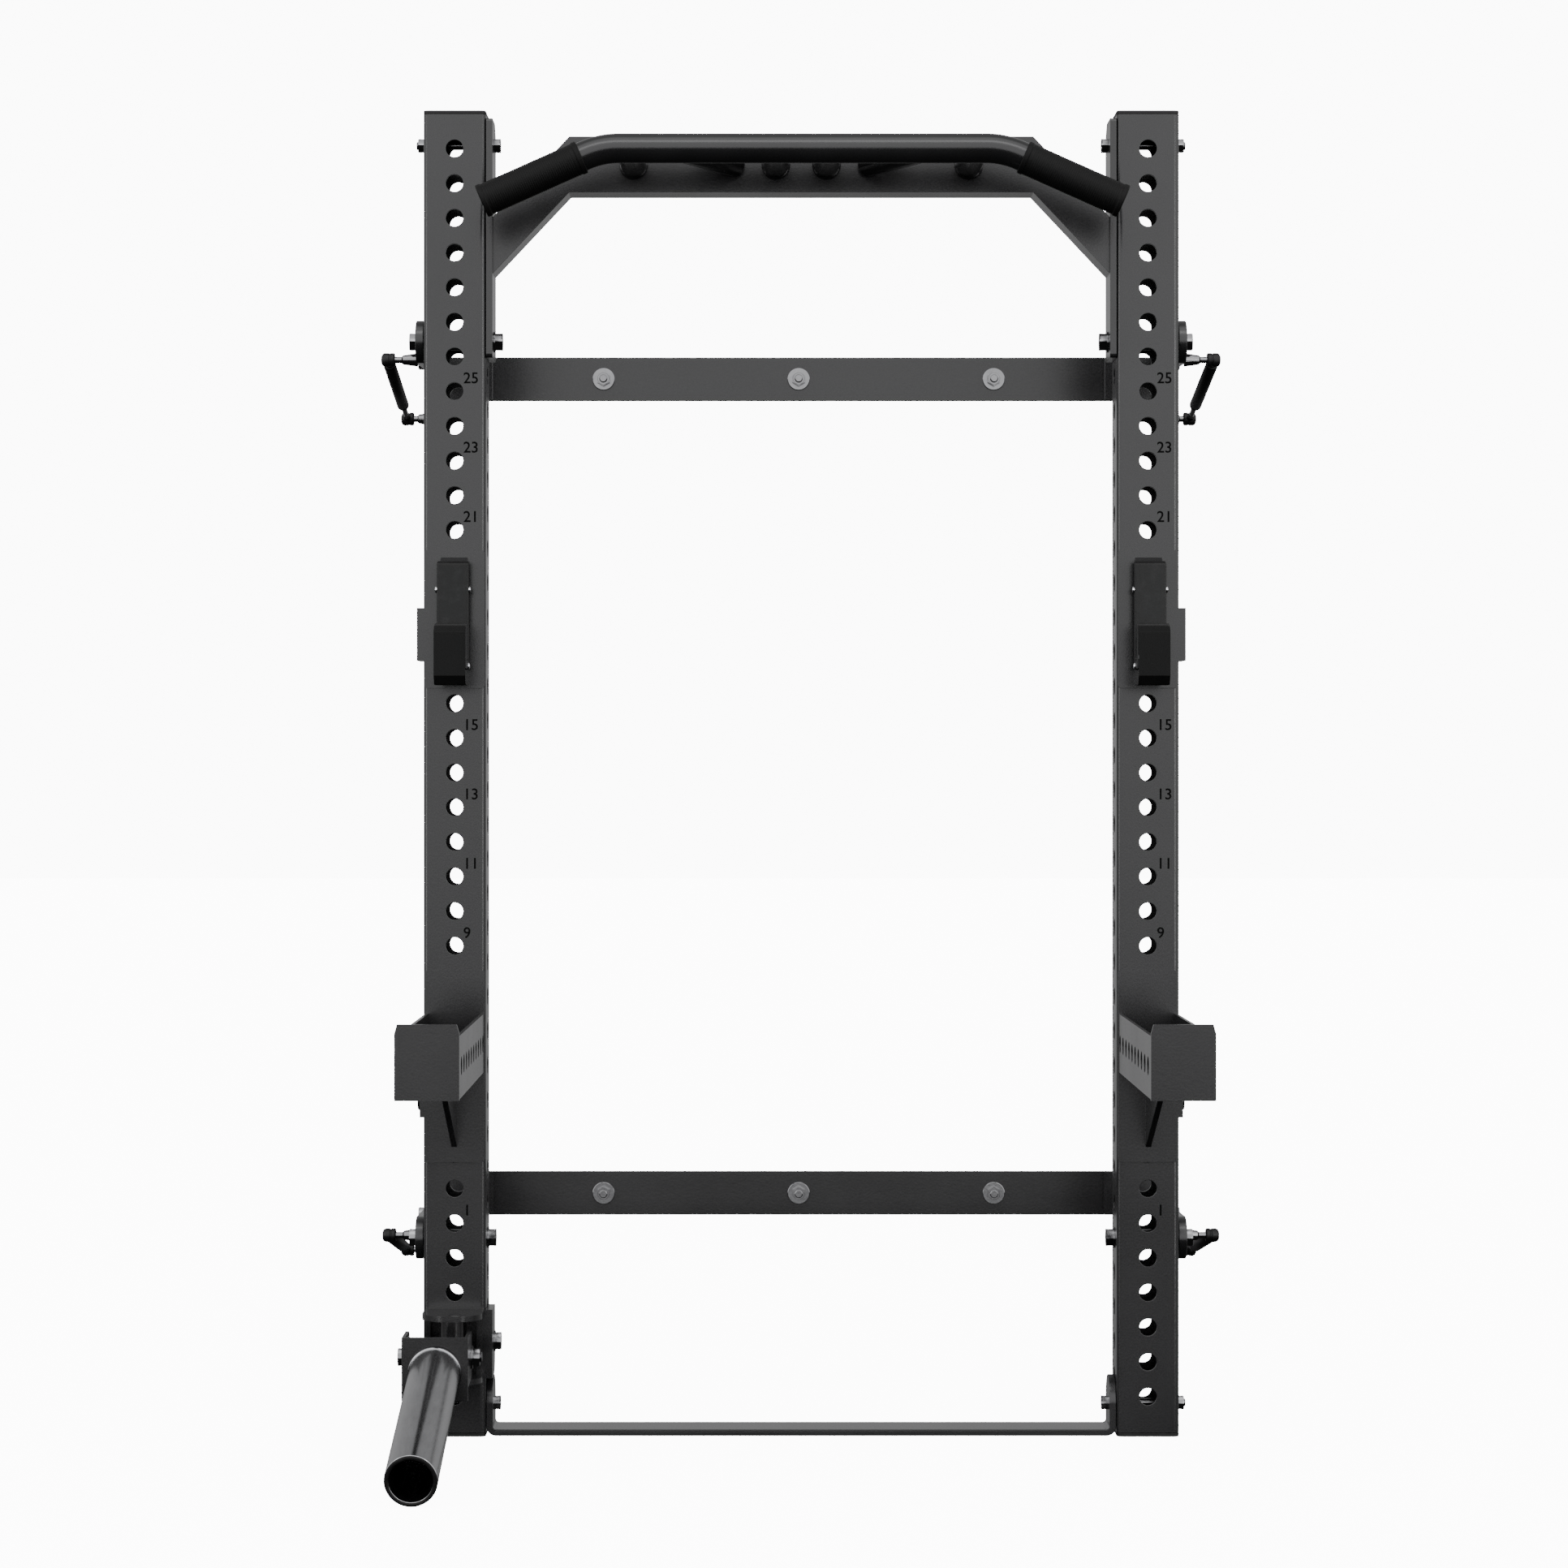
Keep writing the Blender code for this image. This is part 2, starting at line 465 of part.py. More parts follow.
cuts.append(rod("X", (TILT_Y, TILT_Z), 0.0084, x - 0.1, x + 0.1, 16))
solid("landmine_swivel", BLACK, [sleeve, neck, hub], cuts, pivot=(x, SWIVEL_Y, TILT_Z))
middle = x - 0.015
adds = []
for edge in (-1, 1):
    wall = sorted((middle + edge * 0.0415, middle + edge * 0.0465))
    cheek = [(TILT_Y + 0.015, 0.1000), (TILT_Y + 0.015, 0.1600), (TILT_Y + 0.006, 0.1670)]
    cheek += [(FRONT - 0.180, 0.1670), (FRONT - 0.180, 0.0960)]
    adds.append(prism(cheek, "X", wall[0], wall[1]))
adds.append(box((middle - 0.0465, FRONT - 0.184, 0.0783), (middle + 0.0465, FRONT - 0.178, 0.1670)))
adds.append(rod("X", (TILT_Y, TILT_Z), 0.0080, middle - 0.060, middle + 0.062, 16))
adds.append(rod("X", (TILT_Y, TILT_Z), 0.0139, middle - 0.0570, middle - 0.0460, 6))
adds.append(rod("X", (TILT_Y, TILT_Z), 0.0170, middle + 0.0460, middle + 0.0490, 16))
adds.append(rod("X", (TILT_Y, TILT_Z), 0.0139, middle + 0.0485, middle + 0.0590, 6))
TUBE_R = 0.0355
slope = math.radians(11.2)
direction = Vector((0, -math.cos(slope), -math.sin(slope)))
tip_z = TUBE_R * math.cos(slope) + 0.0004
start = Vector((middle, FRONT - 0.181, tip_z + SOCKET_LENGTH * math.sin(slope)))
bore = TUBE_R - 0.006
profile = [(0.0, TUBE_R), (SOCKET_LENGTH, TUBE_R), (SOCKET_LENGTH, bore), (0.008, bore)]
adds.append(turned(start, direction, profile, 24))
solid("landmine_tube", BARE, adds, pivot=(middle, TILT_Y, TILT_Z), metal=1.0, rough=0.3)

# Everything made since the arms swings up together, from one empty on the front pivots.
lifting_frame = bpy.data.objects.new("lifting_frame", None)
lifting_frame.location = Vector((0, 0, UPPER_PIVOT)) - ORIGIN
bpy.context.scene.collection.objects.link(lifting_frame)
for made in bpy.data.objects:
    if made not in standing and made is not lifting_frame:
        made.parent = lifting_frame
        made.location -= lifting_frame.location
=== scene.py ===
# %% [markdown]
# # A wall rack that folds up
# Two punched uprights hang on four parallel arms, so the whole lifting frame swings up and back to
# the wall with gas struts to carry its weight. The solids of the frame are loaded first. They fix
# every size and place, and each cell below makes one finished piece around them.

# %% Load the frame
import math

import bmesh
import bpy
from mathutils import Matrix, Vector


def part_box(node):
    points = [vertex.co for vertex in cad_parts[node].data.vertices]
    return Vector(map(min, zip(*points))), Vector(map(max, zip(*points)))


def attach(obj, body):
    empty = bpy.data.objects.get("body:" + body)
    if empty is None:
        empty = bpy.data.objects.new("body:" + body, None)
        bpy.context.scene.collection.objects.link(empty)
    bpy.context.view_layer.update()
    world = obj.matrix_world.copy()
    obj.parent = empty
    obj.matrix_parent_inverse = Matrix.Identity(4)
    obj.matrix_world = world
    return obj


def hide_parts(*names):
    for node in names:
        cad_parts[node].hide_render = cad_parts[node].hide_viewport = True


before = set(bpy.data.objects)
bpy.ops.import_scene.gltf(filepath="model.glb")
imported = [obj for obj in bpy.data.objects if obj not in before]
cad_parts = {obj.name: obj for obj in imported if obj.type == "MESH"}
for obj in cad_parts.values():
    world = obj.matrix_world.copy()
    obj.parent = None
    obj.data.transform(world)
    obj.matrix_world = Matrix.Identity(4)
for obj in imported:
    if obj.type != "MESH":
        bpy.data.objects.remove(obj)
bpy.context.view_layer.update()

print("frame loaded,", len(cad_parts), "nodes")

# %% [markdown]
# A maker measures from the floor, from the middle of the uprights and from the middle plane. The
# frame's own origin is on the wall, so one offset turns the first kind of place into the second.

# %% Driving sizes
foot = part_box("left_foot_cap")
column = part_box("left_upright")
FLOOR = foot[0][2]
MIDDLE_Y = (column[0][1] + column[1][1]) / 2
TUBE = column[1][0] - column[0][0]
HALF = TUBE / 2
COLUMN = -(column[0][0] + column[1][0]) / 2
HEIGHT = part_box("left_top_cap")[1][2] - FLOOR
PITCH = 0.050
HOLES = 37
FIRST_HOLE = 0.0577
HOLE_R = 0.0125
WALL = 0.004
CORNER = 0.0085
GAP = 0.0003
INNER = COLUMN - HALF
OUTER = COLUMN + HALF
FRONT = -HALF
UPPER_PIVOT = FIRST_HOLE + 30.5 * PITCH
LOWER_PIVOT = FIRST_HOLE + 4.5 * PITCH
UPPER_BEAM = UPPER_PIVOT - 0.0207
LOWER_BEAM = LOWER_PIVOT + 0.0273
WALL_Y = -MIDDLE_Y
ARM_LENGTH = WALL_Y - 0.076
BEAM_FRONT = WALL_Y - 0.006
ARM_IN = OUTER + 0.0012
ARM_OUT = ARM_IN + 0.012
PLATE_IN = ARM_OUT + 0.0008
PLATE_OUT = PLATE_IN + 0.010
BALL_X = OUTER + 0.052
FLANGE_IN = INNER - 0.0095
OFFSET = Vector((0, MIDDLE_Y, FLOOR))
SIDES = {"left": -1, "right": 1}
LEVELS = {"upper": (UPPER_PIVOT, UPPER_BEAM), "lower": (LOWER_PIVOT, LOWER_BEAM)}
print(f"uprights {TUBE * 1000:.0f} mm square, {2 * COLUMN * 1000:.0f} mm apart, {HEIGHT * 1000:.0f} mm high")

# %% [markdown]
# Shader maths reads best as a sum. This class wraps a socket, so that `1 - mask` adds the Math node
# it needs, and one method makes any other node from its type, its settings and its inputs.

# %% Sockets as values
class Flow:
    """A socket of a node tree that can be added, multiplied and mixed."""

    def __init__(self, tree, socket):
        self.tree = tree
        self.socket = socket

    def node(self, kind, settings=None, output=0, **inputs):
        """Adds a node: its settings first, then its sockets by name, or by place as i0, i1."""
        made = self.tree.nodes.new(kind)
        for key, value in (settings or {}).items():
            setattr(made, key, value)
        for key, value in inputs.items():
            by_place = key[0] == "i" and key[1:].isdigit()
            socket = made.inputs[int(key[1:]) if by_place else key.replace("_", " ")]
            if isinstance(value, Flow):
                self.tree.links.new(value.socket, socket)
            else:
                socket.default_value = value
        return Flow(self.tree, made.outputs[output])

    def math(self, operation, first, second=0.0):
        return self.node("ShaderNodeMath", {"operation": operation}, i0=first, i1=second)

    def __add__(self, other):
        return self.math("ADD", self, other)

    def __radd__(self, other):
        return self.math("ADD", other, self)

    def __sub__(self, other):
        return self.math("SUBTRACT", self, other)

    def __rsub__(self, other):
        return self.math("SUBTRACT", other, self)

    def __mul__(self, other):
        return self.math("MULTIPLY", self, other)

    def __rmul__(self, other):
        return self.math("MULTIPLY", other, self)

    def between(self, low, high):
        """0 below low, 1 above high, and a smooth step from one to the other."""
        settings = {"interpolation_type": "SMOOTHSTEP"}
        return self.node("ShaderNodeMapRange", settings, Value=self, i1=low, i2=high)

    def blend(self, first, second):
        """This value picks between two colours."""
        made = self.tree.nodes.new("ShaderNodeMix")
        made.data_type = "RGBA"
        self.tree.links.new(self.socket, made.inputs[0])
        for index, colour in ((6, first), (7, second)):
            if isinstance(colour, Flow):
                self.tree.links.new(colour.socket, made.inputs[index])
            else:
                made.inputs[index].default_value = (*colour, 1)
        return Flow(self.tree, made.outputs[2])


def material(name, paint, **constants):
    """A Principled material. paint(place) gives what changes over the surface."""
    made = bpy.data.materials.new(name)
    made.use_nodes = True
    tree = made.node_tree
    shader = tree.nodes["Principled BSDF"]
    for key, value in constants.items():
        shader.inputs[key.replace("_", " ")].default_value = value
    start = Flow(tree, None)
    place = start.node("ShaderNodeTexCoord", output=3)
    for key, value in paint(place).items():
        tree.links.new(value.socket, shader.inputs[key])
    return made


def bump(height, strength, distance):
    return height.node("ShaderNodeBump", None, Strength=strength, Distance=distance, Height=height)


print("shader helpers ready")

# %% [markdown]
# Powder coat is melted plastic dust. It sets with a faint orange peel, and its tone and gloss change
# a little in broad patches. Three sizes of noise give the patches, the peel and the dust.

# %% Powder coat
def powder(place):
    peel = place.node("ShaderNodeTexNoise", None, Vector=place, Scale=420.0, Detail=3.0, Roughness=0.6)
    broad = place.node("ShaderNodeTexNoise", None, Vector=place, Scale=5.0, Detail=4.0, Roughness=0.6)
    speck = place.node("ShaderNodeTexNoise", None, Vector=place, Scale=1500.0, Detail=1.0)
    tone = broad.between(0.3, 0.7) * 0.6 + speck.between(0.3, 0.8) * 0.4
    return {
        "Base Color": tone.blend((0.006, 0.006, 0.0063), (0.012, 0.012, 0.0124)),
        "Roughness": 0.17 + broad * 0.10,
        "Normal": bump(peel + speck * 0.4, 0.10, 0.0006),
    }


POWDER = material("black powder coat", powder)
print(POWDER.name)

# %% [markdown]
# Zinc plate is bright but never a mirror: the crystals of the plating and the tooling marks of the
# hexagon break the reflection up. The rod of a strut is chromed, so it is brighter and smoother.

# %% Plated hardware
def zinc(place):
    grain = place.node("ShaderNodeTexNoise", None, Vector=place, Scale=260.0, Detail=4.0)
    cloud = place.node("ShaderNodeTexNoise", None, Vector=place, Scale=40.0, Detail=2.0)
    return {
        "Base Color": cloud.blend((0.15, 0.15, 0.155), (0.25, 0.25, 0.255)),
        "Roughness": 0.14 + grain * 0.12,
        "Normal": bump(grain, 0.08, 0.0004),
    }


def chrome(place):
    grain = place.node("ShaderNodeTexNoise", None, Vector=place, Scale=700.0, Detail=2.0)
    return {
        "Base Color": grain.blend((0.70, 0.71, 0.73), (0.82, 0.83, 0.84)),
        "Roughness": 0.07 + grain * 0.08,
    }


ZINC = material("zinc plate", zinc, Metallic=1.0)
CHROME = material("polished rod", chrome, Metallic=1.0)
print(ZINC.name, CHROME.name)

# %% [markdown]
# Wear pads and end caps are moulded plastic with a fine spark-eroded grain. The bar grips are
# rubber, softer and duller, with a cloudy bloom.

# %% Plastic and rubber
def plastic(place):
    grain = place.node("ShaderNodeTexNoise", None, Vector=place, Scale=900.0, Detail=2.0)
    scuff = place.node("ShaderNodeTexNoise", None, Vector=place, Scale=60.0, Detail=6.0, Roughness=0.7)
    return {
        "Base Color": scuff.between(0.45, 0.75).blend((0.004, 0.004, 0.004), (0.010, 0.010, 0.0105)),
        "Roughness": 0.34 + scuff * 0.18,
        "Normal": bump(grain, 0.12, 0.0004),
    }


def rubber(place):
    grain = place.node("ShaderNodeTexNoise", None, Vector=place, Scale=600.0, Detail=3.0)
    bloom = place.node("ShaderNodeTexNoise", None, Vector=place, Scale=14.0, Detail=4.0)
    return {
        "Base Color": bloom.blend((0.003, 0.003, 0.003), (0.007, 0.007, 0.007)),
        "Roughness": 0.42 + bloom * 0.2,
        "Normal": bump(grain, 0.18, 0.0005),
    }


PLASTIC = material("black moulded plastic", plastic, Specular_IOR_Level=0.25)
RUBBER = material("grip rubber", rubber, Specular_IOR_Level=0.10)
print(PLASTIC.name, RUBBER.name)

# %% [markdown]
# The landmine tube is bare drawn steel. Its draw marks run along the tube, so the noise is
# stretched that way, and a second, rounder noise makes the shine uneven.

# %% Bare steel
def bare(place):
    long_way = place.node("ShaderNodeMapping", None, Vector=place, Scale=(160.0, 3.0, 160.0))
    streak = place.node("ShaderNodeTexNoise", None, Vector=long_way, Scale=1.0, Detail=5.0, Roughness=0.65)
    cloud = place.node("ShaderNodeTexNoise", None, Vector=place, Scale=22.0, Detail=3.0)
    return {
        "Base Color": (streak * 0.7 + cloud * 0.3).blend((0.16, 0.16, 0.165), (0.42, 0.42, 0.43)),
        "Roughness": 0.14 + streak * 0.14,
        "Normal": bump(streak, 0.10, 0.0004),
    }


BARE = material("bare drawn steel", bare, Metallic=1.0)
print(BARE.name)

# %% [markdown]
# The numbers are laser marks: the coat is burnt away to a dull, nearly black scale. The frame has
# a slot of its own for each finish, so one table pairs each material with its slot.

# %% Laser mark
def burnt(place):
    grain = place.node("ShaderNodeTexNoise", None, Vector=place, Scale=1200.0, Detail=2.0)
    return {
        "Base Color": grain.blend((0.001, 0.001, 0.001), (0.004, 0.004, 0.004)),
        "Roughness": 0.70 + grain * 0.2,
    }


BURNT = material("laser mark", burnt, Specular_IOR_Level=0.03)
FINISHES = {POWDER: "black_powder_coat", ZINC: "zinc_hardware", CHROME: "zinc_hardware"}
FINISHES |= {PLASTIC: "black_plastic", RUBBER: "grip_rubber", BARE: "bare_steel"}
print(BURNT.name)

# %% [markdown]
# Nearly every piece is a plate, a bar or a turned shape. A plate is an outline pushed along an axis,
# a turned shape is a profile spun about a line, and a bent bar is a circle carried along a path.

# %% Outlines and solids
def prism(points, axis, low, high):
    """An outline in the plane across an axis, pushed from low to high."""
    def place(u, v, w):
        return (w, u, v) if axis == "X" else (u, w, v) if axis == "Y" else (u, v, w)
    count = len(points)
    verts = [place(u, v, low) for u, v in points] + [place(u, v, high) for u, v in points]
    faces = [list(range(count)), list(range(count, 2 * count))]
    faces += [[i, (i + 1) % count, count + (i + 1) % count, count + i] for i in range(count)]
    return verts, faces


def box(low, high):
    outline = [(low[0], low[1]), (high[0], low[1]), (high[0], high[1]), (low[0], high[1])]
    return prism(outline, "Z", low[2], high[2])


def arc(centre, radius, start, end, steps):
    """Points on part of a circle, angles in degrees."""
    found = []
    for i in range(steps + 1):
        angle = math.radians(start + (end - start) * i / steps)
        found.append((centre[0] + radius * math.cos(angle), centre[1] + radius * math.sin(angle)))
    return found


def rounded(points, radius, steps=5):
    """The same outline with every corner rounded."""
    found = []
    count = len(points)
    for i in range(count):
        corner = Vector(points[i])
        back = Vector(points[i - 1]) - corner
        on = Vector(points[(i + 1) % count]) - corner
        cut = min(radius, back.length * 0.45, on.length * 0.45)
        start = corner + back.normalized() * cut
        end = corner + on.normalized() * cut
        for k in range(steps + 1):
            t = k / steps
            found.append(tuple(start * (1 - t) ** 2 + corner * 2 * t * (1 - t) + end * t ** 2))
    return found


def rounded_plate(x, half, low, high, radius, steps=5):
    """A rectangle about x with its corners rounded."""
    return rounded([(x - half, low), (x + half, low), (x + half, high), (x - half, high)], radius, steps)


def rod(axis, centre, radius, low, high, sides=32):
    """A round bar along an axis. Its facets stand square to the axes, not its corners."""
    half_facet = 180 / sides
    outline = arc(centre, radius, half_facet, half_facet + 360, sides)[:-1]
    return prism(outline, axis, low, high)


def turned(start, direction, profile, sides=40, tube=False):
    """A profile of (distance, radius) pairs spun about a line, capped unless it is a tube."""
    along = Vector(direction).normalized()
    across = along.orthogonal().normalized()
    third = along.cross(across)
    verts = []
    for distance, radius in profile:
        for i in range(sides):
            angle = 2 * math.pi * i / sides
            out = across * math.cos(angle) + third * math.sin(angle)
            verts.append(Vector(start) + along * distance + out * radius)
    rows = len(profile)
    faces = [] if tube else [list(range(sides)), list(range((rows - 1) * sides, rows * sides))]
    for row in range(rows if tube else rows - 1):
        below = (row + 1) % rows
        for i in range(sides):
            step = (i + 1) % sides
            faces.append([row * sides + i, row * sides + step, below * sides + step, below * sides + i])
    return verts, faces


def swept(path, radius, sides=40):
    """A round bar along a path that lies in a plane Y = constant."""
    verts = []
    count = len(path)
    side = Vector((0, 1, 0))
    for i, point in enumerate(path):
        along = (Vector(path[min(i + 1, count - 1)]) - Vector(path[max(i - 1, 0)])).normalized()
        third = along.cross(side)
        for k in range(sides):
            angle = 2 * math.pi * k / sides
            verts.append(Vector(point) + side * radius * math.cos(angle) + third * radius * math.sin(angle))
    faces = [list(range(sides)), list(range((count - 1) * sides, count * sides))]
    for row in range(count - 1):
        for k in range(sides):
            step = (k + 1) % sides
            low = row * sides
            faces.append([low + k, low + step, low + sides + step, low + sides + k])
    return verts, faces


def span(side, near, far):
    """The low and high X of a stretch measured outwards on one side."""
    return min(side * near, side * far), max(side * near, side * far)


def bar_x(side, near, far, centre, radius):
    low, high = span(side, near, far)
    return rod("X", centre, radius, low, high)


print("outline helpers ready")

# %% [markdown]
# A piece is its adds joined into one body, less its cuts, with a small bevel on every sharp edge so
# that each edge catches the light. The modifiers are evaluated once and the finished mesh is kept.

# %% Finished pieces
def raw_mesh(name, shapes):
    made = bmesh.new()
    for verts, faces in shapes:
        corners = [made.verts.new(Vector(v) + OFFSET) for v in verts]
        for face in faces:
            made.faces.new([corners[i] for i in face])
    bmesh.ops.recalc_face_normals(made, faces=made.faces)
    mesh = bpy.data.meshes.new(name)
    made.to_mesh(mesh)
    made.free()
    return mesh


def settle(made):
    """Keeps what the modifiers make of a mesh, and drops the modifiers."""
    graph = bpy.context.evaluated_depsgraph_get()
    mesh = bpy.data.meshes.new_from_object(made.evaluated_get(graph))
    made.modifiers.clear()
    made.data = mesh


def piece(name, adds, look, body, cuts=(), edge=0, stands_for=(), finish=None, merge=True, flat=False):
    """One finished piece on a body. finish is a slot that isn't the look's own and is not used, flat suits a
    notch.
    """
    made = bpy.data.objects.new(name, raw_mesh(name, adds if (cuts or not merge) else adds[:1]))
    bpy.context.scene.collection.objects.link(made)
    others = cuts if cuts else (adds[1:] if merge else [])
    helper = None
    if others:
        helper = bpy.data.objects.new(name + "_helper", raw_mesh(name + "_helper", others))
        bpy.context.scene.collection.objects.link(helper)
        join = made.modifiers.new("shape", "BOOLEAN")
        join.operation = "DIFFERENCE" if cuts else "UNION"
        join.solver = "EXACT"
        join.use_self = True
        join.object = helper
    if flat:
        split = made.modifiers.new("flat", "TRIANGULATE")
        split.min_vertices = 5
    if edge:
        bevel = made.modifiers.new("edges", "BEVEL")
        bevel.width = edge
        bevel.segments = 2
        bevel.limit_method = "ANGLE"
        bevel.angle_limit = math.radians(40)
        bevel.use_clamp_overlap = True
    settle(made)
    if helper:
        bpy.data.objects.remove(helper)
    made.data.shade_smooth()
    made.data.set_sharp_from_angle(angle=math.radians(32))
    if edge:
        weigh = made.modifiers.new("weights", "WEIGHTED_NORMAL")
        weigh.keep_sharp = True
        settle(made)
    made.data.materials.clear()
    made.data.materials.append(look)
    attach(made, body)
    finish = finish or FINISHES[look]
    if stands_for:
        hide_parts(*stands_for)
    return made


def threads(start, direction, length, radius, pitch=0.0018):
    """The visible end of a bolt, with its thread as a row of rings."""
    profile = [(0.0, radius * 0.9)]
    turns = max(1, int(length / pitch) - 1)
    for i in range(turns):
        profile.append(((i + 0.25) * pitch, radius))
        profile.append(((i + 0.75) * pitch, radius * 0.88))
    profile += [(length - 0.0008, radius * 0.94), (length, radius * 0.80)]
    return turned(start, direction, profile, 28)


print("piece helper ready")

# %% [markdown]
# Each upright is square tube with 25 mm holes punched every 50 mm through all four walls. The side
# holes sit half a step above the front ones. Short cutters, one for each wall, punch them.

# %% Uprights
def upright(hand, side):
    x = side * COLUMN
    core = HALF - WALL
    outline = rounded_plate(x, HALF, -HALF, HALF, CORNER, 6)
    inside = rounded_plate(x, core, -core, core, CORNER - WALL, 3)
    tube = prism(outline, "Z", 0.0053, HEIGHT - 0.0053)
    cuts = [prism(inside, "Z", -0.01, HEIGHT + 0.01)]
    walls = ((-HALF - 0.002, -core + 0.002), (core - 0.002, HALF + 0.002))
    for hole in range(HOLES):
        height = FIRST_HOLE + hole * PITCH
        for low, high in walls:
            cuts.append(rod("Y", (x, height), HOLE_R, low, high, 32))
            if hole < HOLES - 1:
                cuts.append(rod("X", (0.0, height + PITCH / 2), HOLE_R, x + low, x + high, 32))
    piece(hand + "_punched_tube", [tube], POWDER, "frame", cuts=cuts, edge=0.0006,
          stands_for=[hand + "_upright"])


for hand, side in SIDES.items():
    upright(hand, side)
print("two uprights,", 2 * HOLES, "front holes")

# %% [markdown]
# Odd numbers, burnt beside the holes by a laser, let a lifter set both sides level. They are text
# turned into thin solids that sit on the paint. Those under the hook and the spotter plate are left out.

# %% Hole numbers
COVERED = (3, 5, 7, 17, 19)


def number(text, x, z, name):
    curve = bpy.data.curves.new(name, "FONT")
    curve.body = text
    curve.size = 0.0225
    curve.extrude = 0.00008
    curve.offset = 0.0002
    curve.resolution_u = 3
    letters = bpy.data.objects.new(name, curve)
    bpy.context.scene.collection.objects.link(letters)
    graph = bpy.context.evaluated_depsgraph_get()
    mesh = bpy.data.meshes.new_from_object(letters.evaluated_get(graph))
    bpy.data.objects.remove(letters)
    for vertex in mesh.vertices:
        u, v, w = vertex.co
        vertex.co = Vector((x + u, FRONT - 0.00010 + w, z + v)) + OFFSET
    made = bpy.data.objects.new(name, mesh)
    bpy.context.scene.collection.objects.link(made)
    mesh.materials.clear()
    mesh.materials.append(BURNT)
    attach(made, "frame")


for hand, side in SIDES.items():
    for hole in range(1, 26, 2):
        if hole in COVERED:
            continue
        z = FIRST_HOLE + (hole + 4) * PITCH + 0.0115
        number(str(hole), side * COLUMN + 0.0125, z, f"{hand}_number_{hole}")
print("hole numbers burnt")

# %% [markdown]
# A moulded cap closes each end of each tube. Its plate has a broad chamfer all round, and a square
# plug holds it in the tube.

# %% End caps
def cap(hand, side, end):
    x = side * COLUMN
    face, away = (0.0, 1) if end == "foot" else (HEIGHT, -1)
    square = rounded_plate(x, HALF, -HALF, HALF, CORNER, 6)
    z = sorted((face, face + away * 0.0050))
    plate = prism(square, "Z", z[0], z[1])
    inside = HALF - WALL - GAP
    z = sorted((face + away * 0.0042, face + away * 0.0200))
    plug = box((x - inside, -inside, z[0]), (x + inside, inside, z[1]))
    piece(f"{hand}_{end}_plug", [plate, plug], PLASTIC, "frame", edge=0.0016,
          stands_for=[f"{hand}_{end}_cap"])


for hand, side in SIDES.items():
    for end in ("foot", "top"):
        cap(hand, side, end)
print("four end caps")

# %% [markdown]
# The cross-member is a deep channel, cranked down at both ends to a plate that bolts inside each
# upright. It is one outline pushed back, with a pocket cut from behind.

# %% Cross-member
WEB_FRONT = FRONT + 0.010
END = FLANGE_IN + 0.002
LIP = FLANGE_IN - 0.001
chevron = [(-END, 1.6763), (-0.335, 1.7957), (0.335, 1.7957), (END, 1.6763)]
chevron += [(END, 1.7580), (0.335, 1.8765), (-0.335, 1.8765), (-END, 1.7580)]
pocket = [(-LIP, 1.6876), (-0.333, 1.8017), (0.333, 1.8017), (LIP, 1.6876)]
pocket += [(LIP, 1.7527), (0.333, 1.8705), (-0.333, 1.8705), (-LIP, 1.7527)]
adds = [prism(chevron, "Y", WEB_FRONT, 0.031)]
cuts = [prism(pocket, "Y", WEB_FRONT + 0.006, 0.060)]
plate = [(-0.0432, 1.5566), (0.0432, 1.5566), (0.0432, 1.8823), (0.0232, 1.9023), (-0.0432, 1.9023)]
for side in SIDES.values():
    low, high = span(side, FLANGE_IN, INNER - GAP)
    adds.append(prism(rounded(plate, 0.006, 4), "X", low, high))
    cuts.append(bar_x(side, FLANGE_IN - 0.01, INNER + 0.01, (0.0, UPPER_PIVOT), 0.0086))
    cuts.append(bar_x(side, FLANGE_IN - 0.01, INNER + 0.01, (0.0, 1.8675), 0.0068))
piece("cranked_channel", adds, POWDER, "frame", cuts=cuts, edge=0.0015, stands_for=["top_cross_member"],
      flat=True)
print("cross-member ready")

# %% [markdown]
# The pull-up bar is one round tube bent down at both ends, with six short handles back to the
# channel: four straight and two splayed for an angled grip. A bead of weld runs round each joint.

# %% Pull-up bar
BAR_Y = FRONT - 0.165
BAR_Z = 1.8346
BAR_R = 0.0208


def bar_path(side, steps=14):
    found = []
    straight, turn, radius, end = 0.2575, math.radians(24), 0.120, 0.449
    for step in range(steps + 1):
        angle = turn * step / steps
        found.append((side * (straight + radius * math.sin(angle)), BAR_Y,
                      BAR_Z - radius * (1 - math.cos(angle))))
    reach = end - abs(found[-1][0])
    drop = math.tan(turn)
    for share in (0.34, 0.67, 1.0):
        last = found[steps]
        found.append((side * (abs(last[0]) + reach * share), BAR_Y, last[2] - reach * share * drop))
    return found


def weld(start, direction, radius, bead=0.0032):
    """A small rippled ring where a tube meets what it is welded to."""
    profile = []
    for i in range(9):
        angle = math.pi * i / 8
        place = bead * math.cos(angle) * 0.9 + bead * 0.3
        profile.append((place, radius - 0.0004 + bead * 0.8 * math.sin(angle)))
    return turned(start, direction, profile, 44, True)


